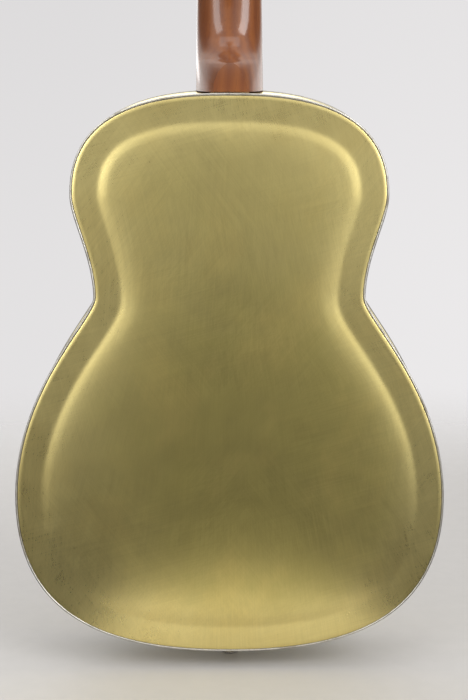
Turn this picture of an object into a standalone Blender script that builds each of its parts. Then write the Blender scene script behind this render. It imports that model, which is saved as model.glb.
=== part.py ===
"""A brass-bodied resonator guitar with one spun cone, modelled upright and at rest.

Metres, +Z up along the neck, front (strings) facing -Y, bass side at -X.
The origin is the middle of the body's tail end, half way through its depth.
"""

import math

import bmesh
import bpy
from mathutils import Matrix, Vector

MM = 0.001
GAP = 0.3 * MM  # clearance between pieces that touch
CUT_MORE = 9 * MM  # how far a cutter reaches past the wall it cuts
TURN_STEPS = 36  # points round a large turned piece
SHARP_ANGLE = math.radians(35)

# Body: where its outline is widest and narrowest, as (half width, height).
BODY_LENGTH = 475 * MM
LOWER_BOUT = (181 * MM, 134 * MM)
WAIST = (112 * MM, 309 * MM)
UPPER_BOUT = (130 * MM, 393 * MM)
# Reach of the outline's tangents, from the tail end to the neck end.
TAIL_FLAT, LOWER_DOWN, LOWER_UP = 77 * MM, 120 * MM, 96 * MM
WAIST_DOWN, WAIST_UP, UPPER_DOWN = 18 * MM, 34 * MM, 20 * MM
UPPER_UP, TOP_FLAT = 82 * MM, 36 * MM
OUTLINE_STEPS = 7  # points for each of the half outline's four curves

HALF_DEPTH = 39 * MM
SHEET = 1 * MM
SIDE_INSET = 0.9 * MM  # of the side walls, inside the rolled edges
ROLL = 1.9 * MM  # width of the sides' rolled edges
ROLL_TALL = 0.9 * MM  # height of the rolled edge's outermost part
PLATE_INSET = ROLL + GAP
PLATE_SEAT = HALF_DEPTH - SHEET - GAP  # of the plates, on the sides' flanges
SIDE_FLANGE = 7 * MM

# A sound hole, about its own middle at +X: a slender stem, widened to an eye at each end. In millimetres.
SOUND_HOLE = (79 * MM, 384 * MM)
HOLE_STEM = ((0, 0), (-4, 22), (-3, 41), (6, 40))
HOLE_HOOK = ((6, 40), (10, 39.5), (12.5, 36.5), (12, 32.4))
HOLE_EYE, HOLE_EYE_RADIUS = (11.6, 27.8), 4.8
HOLE_MIDDLE_HALF, HOLE_END_HALF = 2.85, 0.85
HOLE_STEPS = (7, 3, 8)  # points along the stem, the hook and round the eye

BACK_BORDER = 21 * MM
BACK_CROWN = 5.4 * MM
# Share of the border's width, and of the crown's height there.
BACK_BORDER_SHAPE = ((0, 0.0), (0.88, 0.0), (1.05, 0.16), (1.4, 0.42))
# Share of the way from there to the middle line, and of the crown's height there.
BACK_FIELD_SHAPE = ((0.3, 0.75), (1, 1.0))
BACK_SPINE = (120 * MM, 395 * MM)  # the ends of the middle line

# Scale, board and nut.
SCALE = 635 * MM
FRETS = 19
JOINT_FRET = 14
NUT_WIDTH = 44.5 * MM
JOINT_WIDTH = 57 * MM
BOARD_THICK = 6 * MM
BOARD_OVERHANG = 78 * MM
FRET_WIDTH, FRET_HEIGHT = 2.4 * MM, 1.1 * MM
NUT_THICK = 5 * MM
NUT_SLOPE = (0.5 * MM, 1 * MM)  # how far its top falls towards the headstock, and short of its back
JOINT_TO_NUT = SCALE * (1 - 2 ** (-JOINT_FRET / 12))

# Neck and headstock, in the neck's frame: its face is at y = 0 and the body joint at z = 0.
NECK_ANGLE = math.radians(1.5)
HEAD_ANGLE = math.radians(13)
CHEEK_POINTS = 7
HEEL_FADE = 45 * MM
HEEL = [  # (height, depth of the ridge, half width of the flat cap on it)
    (z * MM, depth * MM, cap * MM)
    for z, depth, cap in (
        (0.3, 67, 13.4),
        (8, 67, 12.4),
        (14, 67, 10.3),
        (19, 67, 7.4),
        (22.5, 67, 4.2),
        (24.8, 67, 0),
        (28, 57, 0),
        (32, 47, 0),
        (38, 38.5, 0),
        (46, 31.5, 0),
        (58, 27, 0),
        (75, 25.2, 0),
    )
]
NECK_BACK = [  # (height, depth)
    (150 * MM, 24 * MM),
    (JOINT_TO_NUT - 18 * MM, 21.5 * MM),
    (JOINT_TO_NUT - 2 * MM, 21.5 * MM),
    (JOINT_TO_NUT + NUT_THICK + GAP, 20.5 * MM),
]
HEAD_THICK = 14.5 * MM
HEAD = [  # (height in the headstock's frame, half width, depth, roundness of the section)
    (z * MM, half * MM, HEAD_THICK + extra * MM, roundness)
    for z, half, extra, roundness in (
        (0.6, 23.6, 2.2, 0.75),
        (8, 25.4, 0.8, 0.45),
        (16, 29.5, 0, 0.2),
        (26, 34.6, 0, 0.12),
        (36, 36.2, 0, 0.12),
        (134, 38.5, 0, 0.12),
        (141, 36.5, 0, 0.12),
        (146, 28, 0, 0.12),
        (149, 13, 0, 0.12),
    )
]
HEAD_START = (0, 3.5 * MM, JOINT_TO_NUT + NUT_THICK + GAP)

ROD_RADIUS, ROD_DEPTH = 2.2 * MM, 9.8 * MM
ROD_START, ROD_END = 6 * MM, JOINT_TO_NUT + NUT_THICK + 2 * MM
ROD_NUT_RADIUS, ROD_NUT_LENGTH = 3.4 * MM, 9 * MM
POCKET_HALF, POCKET_LENGTH = 5 * MM, 21 * MM  # room round the rod's nut
COVER_PLATE = [
    (x * MM, z * MM) for x, z in ((5.5, 4), (7.5, 9), (8.5, 16), (8.5, 26), (6, 33), (0, 37))
]
COVER_PLATE_THICK = 1.7 * MM

STICK = (16 * MM, -11 * MM, 14 * MM)  # half width, front and back
STICK_START = 3.6 * MM
BLOCK_RADIUS = 15 * MM
BLOCK_Z = (96 * MM, 340 * MM)
BLOCK_REACH = PLATE_SEAT + 0.7 * BACK_CROWN

# Resonator, forwards from the body's mid depth.
MIDDLE_Z = BODY_LENGTH + JOINT_TO_NUT - SCALE  # the saddle and the cone's centre
CONE_RADIUS = 119.5 * MM
CONE_SHEET = 0.6 * MM
LEDGE_DEPTH = 20 * MM
WELL_CLEARANCE, WELL_FLANGE = 1 * MM, 8 * MM
CONE_RIM = HALF_DEPTH - LEDGE_DEPTH + GAP + CONE_SHEET
CONE_TOP = CONE_RIM + 24 * MM
CONE_SLOPE_END = (7 * MM, 1.2 * MM)  # in from the rim's edge and up from it
CONE_RIM_WIDTH = 4 * MM
BISCUIT_RADIUS = 28 * MM
BISCUIT_FACE = CONE_TOP + 7 * MM
SCREW_RADIUS, SCREW_HEAD, SCREW_HEAD_TALL, SCREW_BITE = 1.7 * MM, 3.6 * MM, 2 * MM, 3.4 * MM
SADDLE_LENGTH, SADDLE_THICK, SADDLE_CROWN = 57 * MM, 5 * MM, 1.8 * MM
SADDLE_SEAT, SADDLE_TAPER = 1.5 * MM, 5 * MM
COVER_SHEET = 0.9 * MM
COVER_SHAPE = [  # (radius, height of the outer face), from the centre out
    (radius * MM, height * MM)
    for radius, height in ((0, 9.5), (84, 8), (112, 6.4), (122, 4.6), (130, 1.3), (143, 1.2))
]
BRIDGE_WINDOW = (42 * MM, 30 * MM)
SLOT_GROUPS, SLOTS_PER_GROUP = 8, 3
SLOT_REACH, SLOT_WIDTH = (62 * MM, 108 * MM), 5 * MM
GROUP_SPACE = 0.9  # between two groups, in slot spacings
REST_SHEET = 1.2 * MM
REST_FEET = (49 * MM, 57 * MM)
# From a foot's heel to the crown: how far in, and how far above the foot (+) or below the crown (-).
REST_BEND, REST_SHOULDER, REST_KNEE = (3 * MM, 3 * MM), (8 * MM, 3 * MM), (13 * MM, 0.6 * MM)
REST_CROWN_IN = 31 * MM
REST_HALF_WIDTH = 19 * MM
REST_CLEARANCE = 5.5 * MM

# Strings, from the first (treble) to the sixth (bass), and what holds them.
STRING_DIAMETERS = [diameter * MM for diameter in (0.36, 0.44, 0.66, 0.91, 1.17, 1.42)]
NUT_SPREAD, SADDLE_SPREAD = 37 * MM, 54 * MM
NUT_ACTION, SADDLE_ACTION = 0.4 * MM, 4.4 * MM  # from the frets' tops to the strings
ANCHOR = (50.8 * MM, 92 * MM)  # where the strings leave the tailpiece, forwards and up
BALL_LENGTH = 2.4 * MM
TAILPIECE_THICK = 1.5 * MM
TAILPIECE = [  # (forwards, height, half width) along the middle of the strap
    (forward * MM, z * MM, half * MM)
    for forward, z, half in (
        (-9, -1.2, 10),
        (38, -1.5, 11),
        (41.8, 0, 12),
        (43.8, 4.5, 12.5),
        (44.6, 12, 13),
        (47.6, 48, 19),
        (48.2, 84, 32),
        (49.2, 90, 33),
        (55.5, 92, 33),
    )
]
STRAP_WINDOW = [(x * MM, z * MM) for x, z in ((0, 26), (7, 34), (19, 74), (0, 74))]
PIN_RADIUS, PIN_REACH, PIN_STANDS = 3.8 * MM, 24 * MM, 15 * MM
PIN_HEAD = [  # (radius, height) from the collar to the flat end
    (radius * MM, -height * MM)
    for radius, height in (
        (6.2, 2.4),
        (6.2, 3.6),
        (4.2, 6.5),
        (4.2, 8.5),
        (7.4, 12),
        (7.4, 13.6),
        (6.4, 15),
    )
]

# Tuners, in the headstock's frame.
POST_X = 22 * MM
POST_Z = (38 * MM, 74 * MM, 110 * MM)
POST_RADIUS, STUB_RADIUS = 3.1 * MM, 1.5 * MM
POST_STANDS, POST_ROUNDING = 15 * MM, 0.5 * MM
STUB_STANDS = 0.6 * MM  # past the gear's far face
STRING_HOLE_RADIUS = 0.9 * MM
WRAP_HEIGHT = 6 * MM
WINDING_INNER = POST_RADIUS + 0.15 * MM
WINDING_TURNS = 3
WINDING_LEAST_HALF = 1 * MM
WINDING_GAP = 0.8 * MM
WORM_PITCH = 2.4 * MM
GEAR_TEETH = 14
WORM_ROOT, WORM_CREST = 1.9 * MM, 3.1 * MM
THREAD_TIP, THREAD_FOOT = 0.10, 0.26  # half widths, as shares of the pitch
# One gear tooth: (share of the pitch from its middle, radius).
TOOTH = [
    (share, radius * MM) for share, radius in ((-0.26, 4.6), (-0.11, 5.8), (0.11, 5.8), (0.26, 4.6))
]
GEAR_WIDTH = 3.2 * MM
GEAR_PITCH_RADIUS = GEAR_TEETH * WORM_PITCH / math.tau
WORM_DISTANCE = GEAR_PITCH_RADIUS + (WORM_ROOT + WORM_CREST) / 2
WORM_TURNS, WORM_STEPS, WORM_SIDES = 3, 5, 7
THREAD_RUN_OUT = 0.4 * MM
SHAFT_INNER, SHAFT_OUTER = 6.6 * MM, 24.5 * MM
TUNER_PLATE_THICK = 1.2 * MM
GEAR_STANDS = 3.6 * MM  # middle of the gears and worms, behind the tuner plates
TUNER_PLANE = HEAD_THICK + GAP + TUNER_PLATE_THICK + GEAR_STANDS
PLATE_HALF_WIDTH, PLATE_END = 8 * MM, (15 * MM, 10 * MM)
EAR_X, EAR_THICK, EAR_HALF = 5.2 * MM, 1.2 * MM, 2.9 * MM
BUTTON_START, BUTTON_LENGTH = 19.5 * MM, 17 * MM
BUTTON_SIZE, BUTTON_SIDES = (7.8 * MM, 4.6 * MM), 10
BUTTON_SHAPE = ((0, 0.45), (0.25, 0.73), (0.6, 1), (0.85, 0.95), (1, 0.6))

BOARD_FACE_Y = -(HALF_DEPTH + GAP + BOARD_THICK)
NECK_PLACE = Matrix.Translation((0, BOARD_FACE_Y, BODY_LENGTH)) @ Matrix.Rotation(-NECK_ANGLE, 4, "X")
HEAD_PLACE = Matrix.Translation(HEAD_START) @ Matrix.Rotation(-HEAD_ANGLE, 4, "X")

parts = bpy.data.collections.new("resonator_guitar")
cutters = bpy.data.collections.new("cutters")


# ---------------------------------------------------------------- helpers


def clear_scene():
    for obj in list(bpy.data.objects):
        bpy.data.objects.remove(obj)
    for collection in (parts, cutters):
        bpy.context.scene.collection.children.link(collection)


def material(name, colour, roughness, metallic):
    found = bpy.data.materials.get(name)
    if found:
        return found
    made = bpy.data.materials.new(name)
    made.use_nodes = True
    shader = made.node_tree.nodes["Principled BSDF"]
    shader.inputs["Base Color"].default_value = (*colour, 1)
    shader.inputs["Roughness"].default_value = roughness
    shader.inputs["Metallic"].default_value = metallic
    return made


def brass():
    return material("satin_brass", (0.42, 0.34, 0.13), 0.38, 1.0)


def nickel():
    return material("nickel", (0.62, 0.60, 0.56), 0.25, 1.0)


def spun_aluminium():
    return material("spun_aluminium", (0.80, 0.80, 0.80), 0.35, 1.0)


def mahogany():
    return material("mahogany", (0.30, 0.10, 0.035), 0.3, 0.0)


def maple():
    return material("maple", (0.62, 0.42, 0.22), 0.5, 0.0)


def ebony():
    return material("ebony", (0.03, 0.022, 0.018), 0.5, 0.0)


def bone():
    return material("bone", (0.80, 0.75, 0.62), 0.4, 0.0)


def string_metal():
    return material("string_bronze", (0.60, 0.42, 0.22), 0.35, 1.0)


def steel():
    return material("steel", (0.45, 0.45, 0.45), 0.35, 1.0)


def add_object(name, data, finish, parent=None):
    obj = bpy.data.objects.new(name, data)
    (parts if finish else cutters).objects.link(obj)
    if finish:
        data.materials.clear()
        data.materials.append(finish())
    else:
        obj.hide_render = True
        obj.display_type = "WIRE"
    obj.parent = parent
    return obj


def add_mesh(name, points, faces, finish, parent=None, closed=True):
    """A mesh object from points and faces. Only a closed one gets its faces turned to point out."""
    mesh = bpy.data.meshes.new(name)
    mesh.from_pydata([tuple(p) for p in points], [], faces)
    work = bmesh.new()
    work.from_mesh(mesh)
    bmesh.ops.remove_doubles(work, verts=work.verts, dist=1e-6)
    if closed:
        bmesh.ops.recalc_face_normals(work, faces=work.faces)
    work.to_mesh(mesh)
    work.free()
    mesh.shade_smooth()
    mesh.set_sharp_from_angle(angle=SHARP_ANGLE)
    return add_object(name, mesh, finish, parent)


def add_loft(name, rings, finish, parent=None):
    """Joins closed rings of equally many points, one after the other, and caps both ends."""
    count = len(rings[0])
    points = [p for ring in rings for p in ring]
    faces = []
    for k in range(len(rings) - 1):
        for j in range(count):
            a, b = k * count + j, k * count + (j + 1) % count
            faces.append((a, b, b + count, a + count))
    faces.append(tuple(range(count)))
    faces.append(tuple(range(len(points) - count, len(points))))
    return add_mesh(name, points, faces, finish, parent)


def add_box(name, low, high, finish, parent=None):
    work = bmesh.new()
    size = [h - l for l, h in zip(low, high)]
    centre = [(l + h) / 2 for l, h in zip(low, high)]
    place = Matrix.Translation(centre) @ Matrix.Diagonal((*size, 1))
    bmesh.ops.create_cube(work, size=1, matrix=place)
    mesh = bpy.data.meshes.new(name)
    work.to_mesh(mesh)
    work.free()
    return add_object(name, mesh, finish, parent)


def add_rod(name, start, end, radius, finish, parent=None, sides=12):
    """A cylinder from one point to another."""
    axis = Vector(end) - Vector(start)
    turn = axis.to_track_quat("Z", "Y").to_matrix().to_4x4()
    place = Matrix.Translation((Vector(start) + Vector(end)) / 2) @ turn
    work = bmesh.new()
    bmesh.ops.create_cone(
        work,
        cap_ends=True,
        segments=sides,
        radius1=radius,
        radius2=radius,
        depth=axis.length,
        matrix=place,
    )
    mesh = bpy.data.meshes.new(name)
    work.to_mesh(mesh)
    work.free()
    mesh.shade_smooth()
    mesh.set_sharp_from_angle(angle=SHARP_ANGLE)
    return add_object(name, mesh, finish, parent)


def add_turned(name, profile, finish, parent, thickness=0.0, steps=TURN_STEPS):
    """Turns (radius, height) points round the parent frame's Z axis, from the top down the outer side.

    A profile with a thickness is an open sheet, thickened on its lower side. Otherwise it is a solid:
    a ring if it starts off the axis, and closed by the axis if it starts there.
    """
    mesh = bpy.data.meshes.new(name)
    edges = [(i, i + 1) for i in range(len(profile) - 1)]
    if not thickness and profile[0][0] > 0:
        edges.append((len(profile) - 1, 0))
    mesh.from_pydata([(radius, 0, height) for radius, height in profile], edges, [])
    obj = add_object(name, mesh, finish, parent)
    screw = obj.modifiers.new("turn", "SCREW")
    screw.axis = "Z"
    screw.steps = screw.render_steps = steps
    screw.use_merge_vertices = True
    screw.merge_threshold = 0.01 * MM
    screw.use_smooth_shade = True
    if thickness:
        add_thickness(obj, thickness, offset=-1)
    return obj


def add_thickness(obj, thickness, offset):
    shell = obj.modifiers.new("sheet", "SOLIDIFY")
    shell.thickness = thickness
    shell.offset = offset


def add_strip(name, edge, finish, thickness):
    """A bent strip of sheet, from pairs of opposite points along it."""
    points = [point for pair in edge for point in pair]
    faces = [(2 * i, 2 * i + 1, 2 * i + 3, 2 * i + 2) for i in range(len(edge) - 1)]
    strip = add_mesh(name, points, faces, finish, closed=False)
    add_thickness(strip, thickness, offset=0)
    return strip


def add_flat(name, loops, low_y, high_y, finish):
    """A flat sheet between two depths, from an outer loop of (x, z) points and loops for its holes."""
    curve = bpy.data.curves.new(name, "CURVE")
    curve.dimensions = "2D"
    curve.fill_mode = "BOTH"
    curve.extrude = (high_y - low_y) / 2
    for loop in loops:
        spline = curve.splines.new("POLY")
        spline.points.add(len(loop) - 1)
        for point, (x, z) in zip(spline.points, loop):
            point.co = (x, z, 0, 1)
        spline.use_cyclic_u = True
    obj = add_object(name, curve, finish)
    obj.location = (0, (low_y + high_y) / 2, 0)
    obj.rotation_euler = (math.pi / 2, 0, 0)
    return obj


def add_tube(name, points, radius, finish):
    """A round wire along points."""
    curve = bpy.data.curves.new(name, "CURVE")
    curve.dimensions = "3D"
    curve.bevel_depth = radius
    curve.bevel_resolution = 1
    curve.use_fill_caps = True
    spline = curve.splines.new("POLY")
    spline.points.add(len(points) - 1)
    for point, place in zip(spline.points, points):
        point.co = (*place, 1)
    return add_object(name, curve, finish)


def cut(obj, *tools):
    """Cuts each tool's shape out of the object."""
    for tool in tools:
        step = obj.modifiers.new("cut_" + tool.name, "BOOLEAN")
        step.operation = "DIFFERENCE"
        step.solver = "EXACT"
        step.object = tool


def join(obj, *tools):
    """Joins each tool's shape to the object, as one body."""
    for tool in tools:
        step = obj.modifiers.new("join_" + tool.name, "BOOLEAN")
        step.operation = "UNION"
        step.solver = "EXACT"
        step.object = tool


# ---------------------------------------------------------------- outlines


def bezier(p0, p1, p2, p3, steps):
    """Points along a cubic curve, without its last one."""
    made = []
    for i in range(steps):
        t = i / steps
        a, b, c, d = (1 - t) ** 3, 3 * t * (1 - t) ** 2, 3 * t * t * (1 - t), t**3
        made.append(tuple(a * p0[k] + b * p1[k] + c * p2[k] + d * p3[k] for k in (0, 1)))
    return made


def half_outline():
    """The body's edge at +X, as (x, z), from the middle of the tail end up to the neck end."""
    (lx, lz), (wx, wz), (ux, uz) = LOWER_BOUT, WAIST, UPPER_BOUT
    return [
        *bezier((0, 0), (TAIL_FLAT, 0), (lx, lz - LOWER_DOWN), (lx, lz), OUTLINE_STEPS),
        *bezier((lx, lz), (lx, lz + LOWER_UP), (wx, wz - WAIST_DOWN), (wx, wz), OUTLINE_STEPS),
        *bezier((wx, wz), (wx, wz + WAIST_UP), (ux, uz - UPPER_DOWN), (ux, uz), OUTLINE_STEPS),
        *bezier((ux, uz), (ux, uz + UPPER_UP), (TOP_FLAT, BODY_LENGTH), (0, BODY_LENGTH), OUTLINE_STEPS),
        (0, BODY_LENGTH),
    ]


def inset_half(distance):
    """The half outline moved inwards by a distance, square to itself."""
    edge = half_outline()
    moved = []
    for i, (x, z) in enumerate(edge):
        if i in (0, len(edge) - 1):
            moved.append((0, z + (distance if i == 0 else -distance)))
            continue
        dx, dz = edge[i + 1][0] - edge[i - 1][0], edge[i + 1][1] - edge[i - 1][1]
        length = math.hypot(dx, dz)
        moved.append((x - dz / length * distance, z + dx / length * distance))
    return moved


def full_loop(distance):
    """The whole body outline, inset, as one closed loop of (x, z)."""
    half = inset_half(distance)
    return half + [(-x, z) for x, z in reversed(half[1:-1])]


def circle(x, z, radius, steps):
    return [
        (x + radius * math.cos(math.tau * i / steps), z + radius * math.sin(math.tau * i / steps))
        for i in range(steps)
    ]


def sound_hole(side):
    """The outline of one sound hole, at the treble (+1) or the bass side, turned about its own middle."""
    stem_steps, hook_steps, eye_steps = HOLE_STEPS
    line = [*bezier(*HOLE_STEM, stem_steps), *bezier(*HOLE_HOOK, hook_steps), HOLE_HOOK[-1]]
    left, right = [], []
    for i, (x, z) in enumerate(line):
        ahead, behind = line[min(i + 1, len(line) - 1)], line[max(i - 1, 0)]
        dx, dz = ahead[0] - behind[0], ahead[1] - behind[1]
        length = math.hypot(dx, dz)
        half = HOLE_MIDDLE_HALF + (HOLE_END_HALF - HOLE_MIDDLE_HALF) * i / (len(line) - 1)
        left.append((x - dz / length * half, z + dx / length * half))
        right.append((x + dz / length * half, z - dx / length * half))
    start, end = (math.atan2(z - HOLE_EYE[1], x - HOLE_EYE[0]) for x, z in (left[-1], right[-1]))
    sweep = math.tau - ((start - end) % math.tau)
    eye = []
    for k in range(1, eye_steps):
        turn = start + sweep * k / eye_steps
        eye.append(
            (HOLE_EYE[0] + HOLE_EYE_RADIUS * math.cos(turn), HOLE_EYE[1] + HOLE_EYE_RADIUS * math.sin(turn))
        )
    upper = left[1:] + eye + right[:0:-1]
    whole = upper + [(-x, -z) for x, z in upper]
    middle_x, middle_z = SOUND_HOLE
    return [(side * (middle_x + x * MM), middle_z + z * MM) for x, z in whole]


# ---------------------------------------------------------------- frames


def add_frame(name, location, rotation, parent=None):
    frame = bpy.data.objects.new(name, None)
    parts.objects.link(frame)
    frame.location = location
    frame.rotation_euler = rotation
    frame.parent = parent
    return frame


def fret_distance(fret):
    """How far a fret stands from the nut, down the board."""
    return SCALE * (1 - 2 ** (-fret / 12))


def board_half_width(z):
    """Half the board's width at a height in the neck's frame, where 0 is the body joint."""
    return (JOINT_WIDTH + (NUT_WIDTH - JOINT_WIDTH) * z / JOINT_TO_NUT) / 2


# ---------------------------------------------------------------- body shell


def make_back_plate():
    """The stamped back: a flat border, a quick rise inside it and a long shallow crown."""
    rings = []  # the +X half, as rows of (x, y, z) from the tail end to the neck end
    for share, rise in BACK_BORDER_SHAPE:
        distance = PLATE_INSET + share * BACK_BORDER
        rings.append([(x, HALF_DEPTH + rise * BACK_CROWN, z) for x, z in inset_half(distance)])
    inner = rings[-1]
    low, high = BACK_SPINE
    for share, rise in BACK_FIELD_SHAPE:
        row = []
        for (x, _, z), (_, edge_z) in zip(inner, half_outline()):
            spine_z = low + (high - low) * edge_z / BODY_LENGTH
            row.append((x * (1 - share), HALF_DEPTH + rise * BACK_CROWN, z + (spine_z - z) * share))
        rings.append(row)
    count = len(inner)
    points = [point for ring in rings for point in ring]
    faces = []
    for k in range(len(rings) - 1):
        for i in range(count - 1):
            a, b = k * count + i, (k + 1) * count + i
            faces.append((a, b, b + 1, a + 1))
    plate = add_mesh("back_plate", points, faces, brass, closed=False)
    mirror = plate.modifiers.new("other_half", "MIRROR")
    mirror.merge_threshold = 0.01 * MM
    add_thickness(plate, SHEET, offset=-1)


def make_top_plate():
    """The flat top, with the cone's round opening and two sound holes."""
    opening = circle(0, MIDDLE_Z, CONE_RADIUS + WELL_CLEARANCE, TURN_STEPS)
    loops = [full_loop(PLATE_INSET), opening, sound_hole(1), sound_hole(-1)]
    add_flat("top_plate", loops, -HALF_DEPTH, -HALF_DEPTH + SHEET, brass)


def side_section():
    """The sides' section from front to back, as (inset, y): rolled edges, a wall and inner flanges."""
    half = [
        (SIDE_INSET, HALF_DEPTH - ROLL_TALL - ROLL),
        (0, HALF_DEPTH - ROLL),
        (0, HALF_DEPTH - ROLL_TALL),
        (SIDE_INSET / 2, HALF_DEPTH),
        (ROLL, HALF_DEPTH),
        (ROLL, PLATE_SEAT),
        (SIDE_FLANGE, PLATE_SEAT),
        (SIDE_FLANGE, PLATE_SEAT - SHEET),
        (SIDE_INSET + SHEET, PLATE_SEAT - SHEET),
    ]
    return half + [(inset, -y) for inset, y in reversed(half)]


def make_side_bands():
    """Two sheet-metal sides, which meet at the tail and the neck."""
    section = side_section()
    edges = [inset_half(inset) for inset, _ in section]
    half_x, front, back = STICK
    slot = add_box(
        "stick_slot",
        (-half_x - GAP, front - GAP, BODY_LENGTH - 2 * CUT_MORE),
        (half_x + GAP, back + GAP, BODY_LENGTH + CUT_MORE),
        None,
    )
    hole = add_rod("pin_hole", (0, 0, -CUT_MORE), (0, 0, CUT_MORE), PIN_RADIUS + 2 * GAP, None, sides=10)
    for name, side in (("side_band_bass", -1), ("side_band_treble", 1)):
        rings = []
        for i in range(len(edges[0])):
            ring = []
            for edge, (_, y) in zip(edges, section):
                x, z = edge[i]
                ring.append((side * max(x, GAP / 2), y, z))
            rings.append(ring)
        cut(add_loft(name, rings, brass), slot, hole)


# ---------------------------------------------------------------- resonator
# These pieces stand in the frame of the cone's axis: +Z points forwards, out of the top, and +Y up the neck.


def make_cone_well(axis):
    """The ring under the top that drops to the ledge the cone's rim rests on."""
    top = PLATE_SEAT
    ledge = HALF_DEPTH - LEDGE_DEPTH
    wall = CONE_RADIUS + WELL_CLEARANCE
    profile = [
        (wall + WELL_FLANGE, top),
        (wall + WELL_FLANGE, top - SHEET),
        (wall + SHEET, top - SHEET),
        (wall + SHEET, ledge - SHEET),
        (wall - WELL_FLANGE, ledge - SHEET),
        (wall - WELL_FLANGE, ledge),
        (wall, ledge),
        (wall, top),
    ]
    add_turned("cone_well", profile, brass, axis)


def make_resonator_cone(axis):
    """Spun cone: a flat top that seats the biscuit, a straight slope and a flat rim."""
    profile = [
        (0, CONE_TOP),
        (BISCUIT_RADIUS + CONE_RIM_WIDTH, CONE_TOP),
        (CONE_RADIUS - CONE_SLOPE_END[0], CONE_RIM + CONE_SLOPE_END[1]),
        (CONE_RADIUS - CONE_RIM_WIDTH, CONE_RIM),
        (CONE_RADIUS, CONE_RIM),
    ]
    cone = add_turned("resonator_cone", profile, spun_aluminium, axis, thickness=CONE_SHEET)
    bore = add_rod("cone_bore", (0, 0, 0), (0, 0, 2 * HALF_DEPTH), SCREW_RADIUS + GAP, None, axis, sides=8)
    cut(cone, bore)


def make_biscuit(axis):
    """The round block on the cone, slotted for the saddle, and the screw that holds it from behind."""
    low = CONE_TOP + GAP
    disc = add_rod("biscuit", (0, 0, low), (0, 0, BISCUIT_FACE), BISCUIT_RADIUS, maple, axis, sides=32)
    bore_end = (0, 0, low + SCREW_BITE + 2 * GAP)
    bore = add_rod("biscuit_bore", (0, 0, 0), bore_end, SCREW_RADIUS + GAP, None, axis, sides=8)
    half_slot = SADDLE_THICK / 2 + GAP
    slot = add_box(
        "saddle_slot",
        (-SADDLE_LENGTH, -half_slot, BISCUIT_FACE - SADDLE_SEAT),
        (SADDLE_LENGTH, half_slot, BISCUIT_FACE + SADDLE_SEAT),
        None,
        axis,
    )
    cut(disc, bore, slot)
    under = CONE_TOP - CONE_SHEET - GAP
    profile = [
        (0, low + SCREW_BITE),
        (SCREW_RADIUS, low + SCREW_BITE),
        (SCREW_RADIUS, under),
        (SCREW_HEAD, under),
        (SCREW_HEAD, under - SCREW_HEAD_TALL),
        (0, under - SCREW_HEAD_TALL),
    ]
    add_turned("biscuit_screw", profile, steel, axis, steps=12)


def make_saddle(axis):
    """A tall narrow block with a thin crown that the strings bear on."""
    crest = string_height_at_saddle() - GAP
    half, crown = SADDLE_THICK / 2, SADDLE_CROWN / 2
    bottom = BISCUIT_FACE - SADDLE_SEAT + GAP
    shoulder = crest - SADDLE_TAPER
    side = [(half, bottom), (half, shoulder), (crown, crest)]
    outline = side + [(-y, z) for y, z in reversed(side)]
    rings = [[(end * SADDLE_LENGTH / 2, y, z) for y, z in outline] for end in (-1, 1)]
    add_loft("saddle", rings, maple, axis)


def cover_height(radius):
    """How far the coverplate's outer face stands in front of its seat on the top."""
    for (inner, high), (outer, low) in zip(COVER_SHAPE, COVER_SHAPE[1:]):
        if radius <= outer:
            return high + (low - high) * (radius - inner) / (outer - inner)
    return COVER_SHAPE[-1][1]


def slot_angles():
    """The directions of the coverplate's radial slots, which stand in groups."""
    group = math.tau / SLOT_GROUPS
    spread = group / (SLOTS_PER_GROUP + GROUP_SPACE)
    for g in range(SLOT_GROUPS):
        for s in range(SLOTS_PER_GROUP):
            yield group * (g + 0.5) + spread * (s - (SLOTS_PER_GROUP - 1) / 2)


def make_coverplate(axis):
    profile = [(radius, HALF_DEPTH + GAP + height) for radius, height in COVER_SHAPE]
    plate = add_turned("coverplate", profile, brass, axis, thickness=COVER_SHEET)
    half_x, half_z = BRIDGE_WINDOW
    tools = [add_box("bridge_window", (-half_x, -half_z, 0), (half_x, half_z, 2 * HALF_DEPTH), None, axis)]
    for k, angle in enumerate(slot_angles()):
        slot = add_box(
            f"cover_slot_{k + 1}",
            (SLOT_REACH[0], -SLOT_WIDTH / 2, HALF_DEPTH / 2),
            (SLOT_REACH[1], SLOT_WIDTH / 2, 2 * HALF_DEPTH),
            None,
            axis,
        )
        slot.rotation_euler.z = angle
        tools.append(slot)
    cut(plate, *tools)


def make_hand_rest():
    """The arched guard over the saddle, on two feet that stand on the coverplate."""
    foot = HALF_DEPTH + 2 * GAP + cover_height(REST_FEET[0]) + REST_SHEET / 2
    crown = string_height_at_saddle() + REST_CLEARANCE + REST_SHEET / 2
    heel, toe = REST_FEET
    shape = [
        (toe, foot),
        (heel, foot),
        (heel - REST_BEND[0], foot + REST_BEND[1]),
        (heel - REST_SHOULDER[0], crown - REST_SHOULDER[1]),
        (heel - REST_KNEE[0], crown - REST_KNEE[1]),
        (heel - REST_CROWN_IN, crown),
    ]
    path = shape + [(-x, height) for x, height in reversed(shape)]
    edge = [[(x, -height, MIDDLE_Z + side * REST_HALF_WIDTH) for side in (-1, 1)] for x, height in path]
    add_strip("hand_rest", edge, brass, REST_SHEET)


# ---------------------------------------------------------------- neck and board


def neck_section(z, half_width, front, back, cap=0.0, roundness=1.0):
    """A closed ring across the neck: flat in front, a flat cap behind and rounded cheeks between them."""
    cheek = []
    for j in range(CHEEK_POINTS):
        turn = math.pi / 2 * j / (CHEEK_POINTS - 1)
        out, deep = math.sin(turn) ** roundness, max(math.cos(turn), 0.0) ** roundness
        cheek.append((cap + (half_width - cap) * out, front + (back - front) * deep))
    return [(x, y, z) for x, y in cheek] + [(-x, y, z) for x, y in reversed(cheek)]


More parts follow.
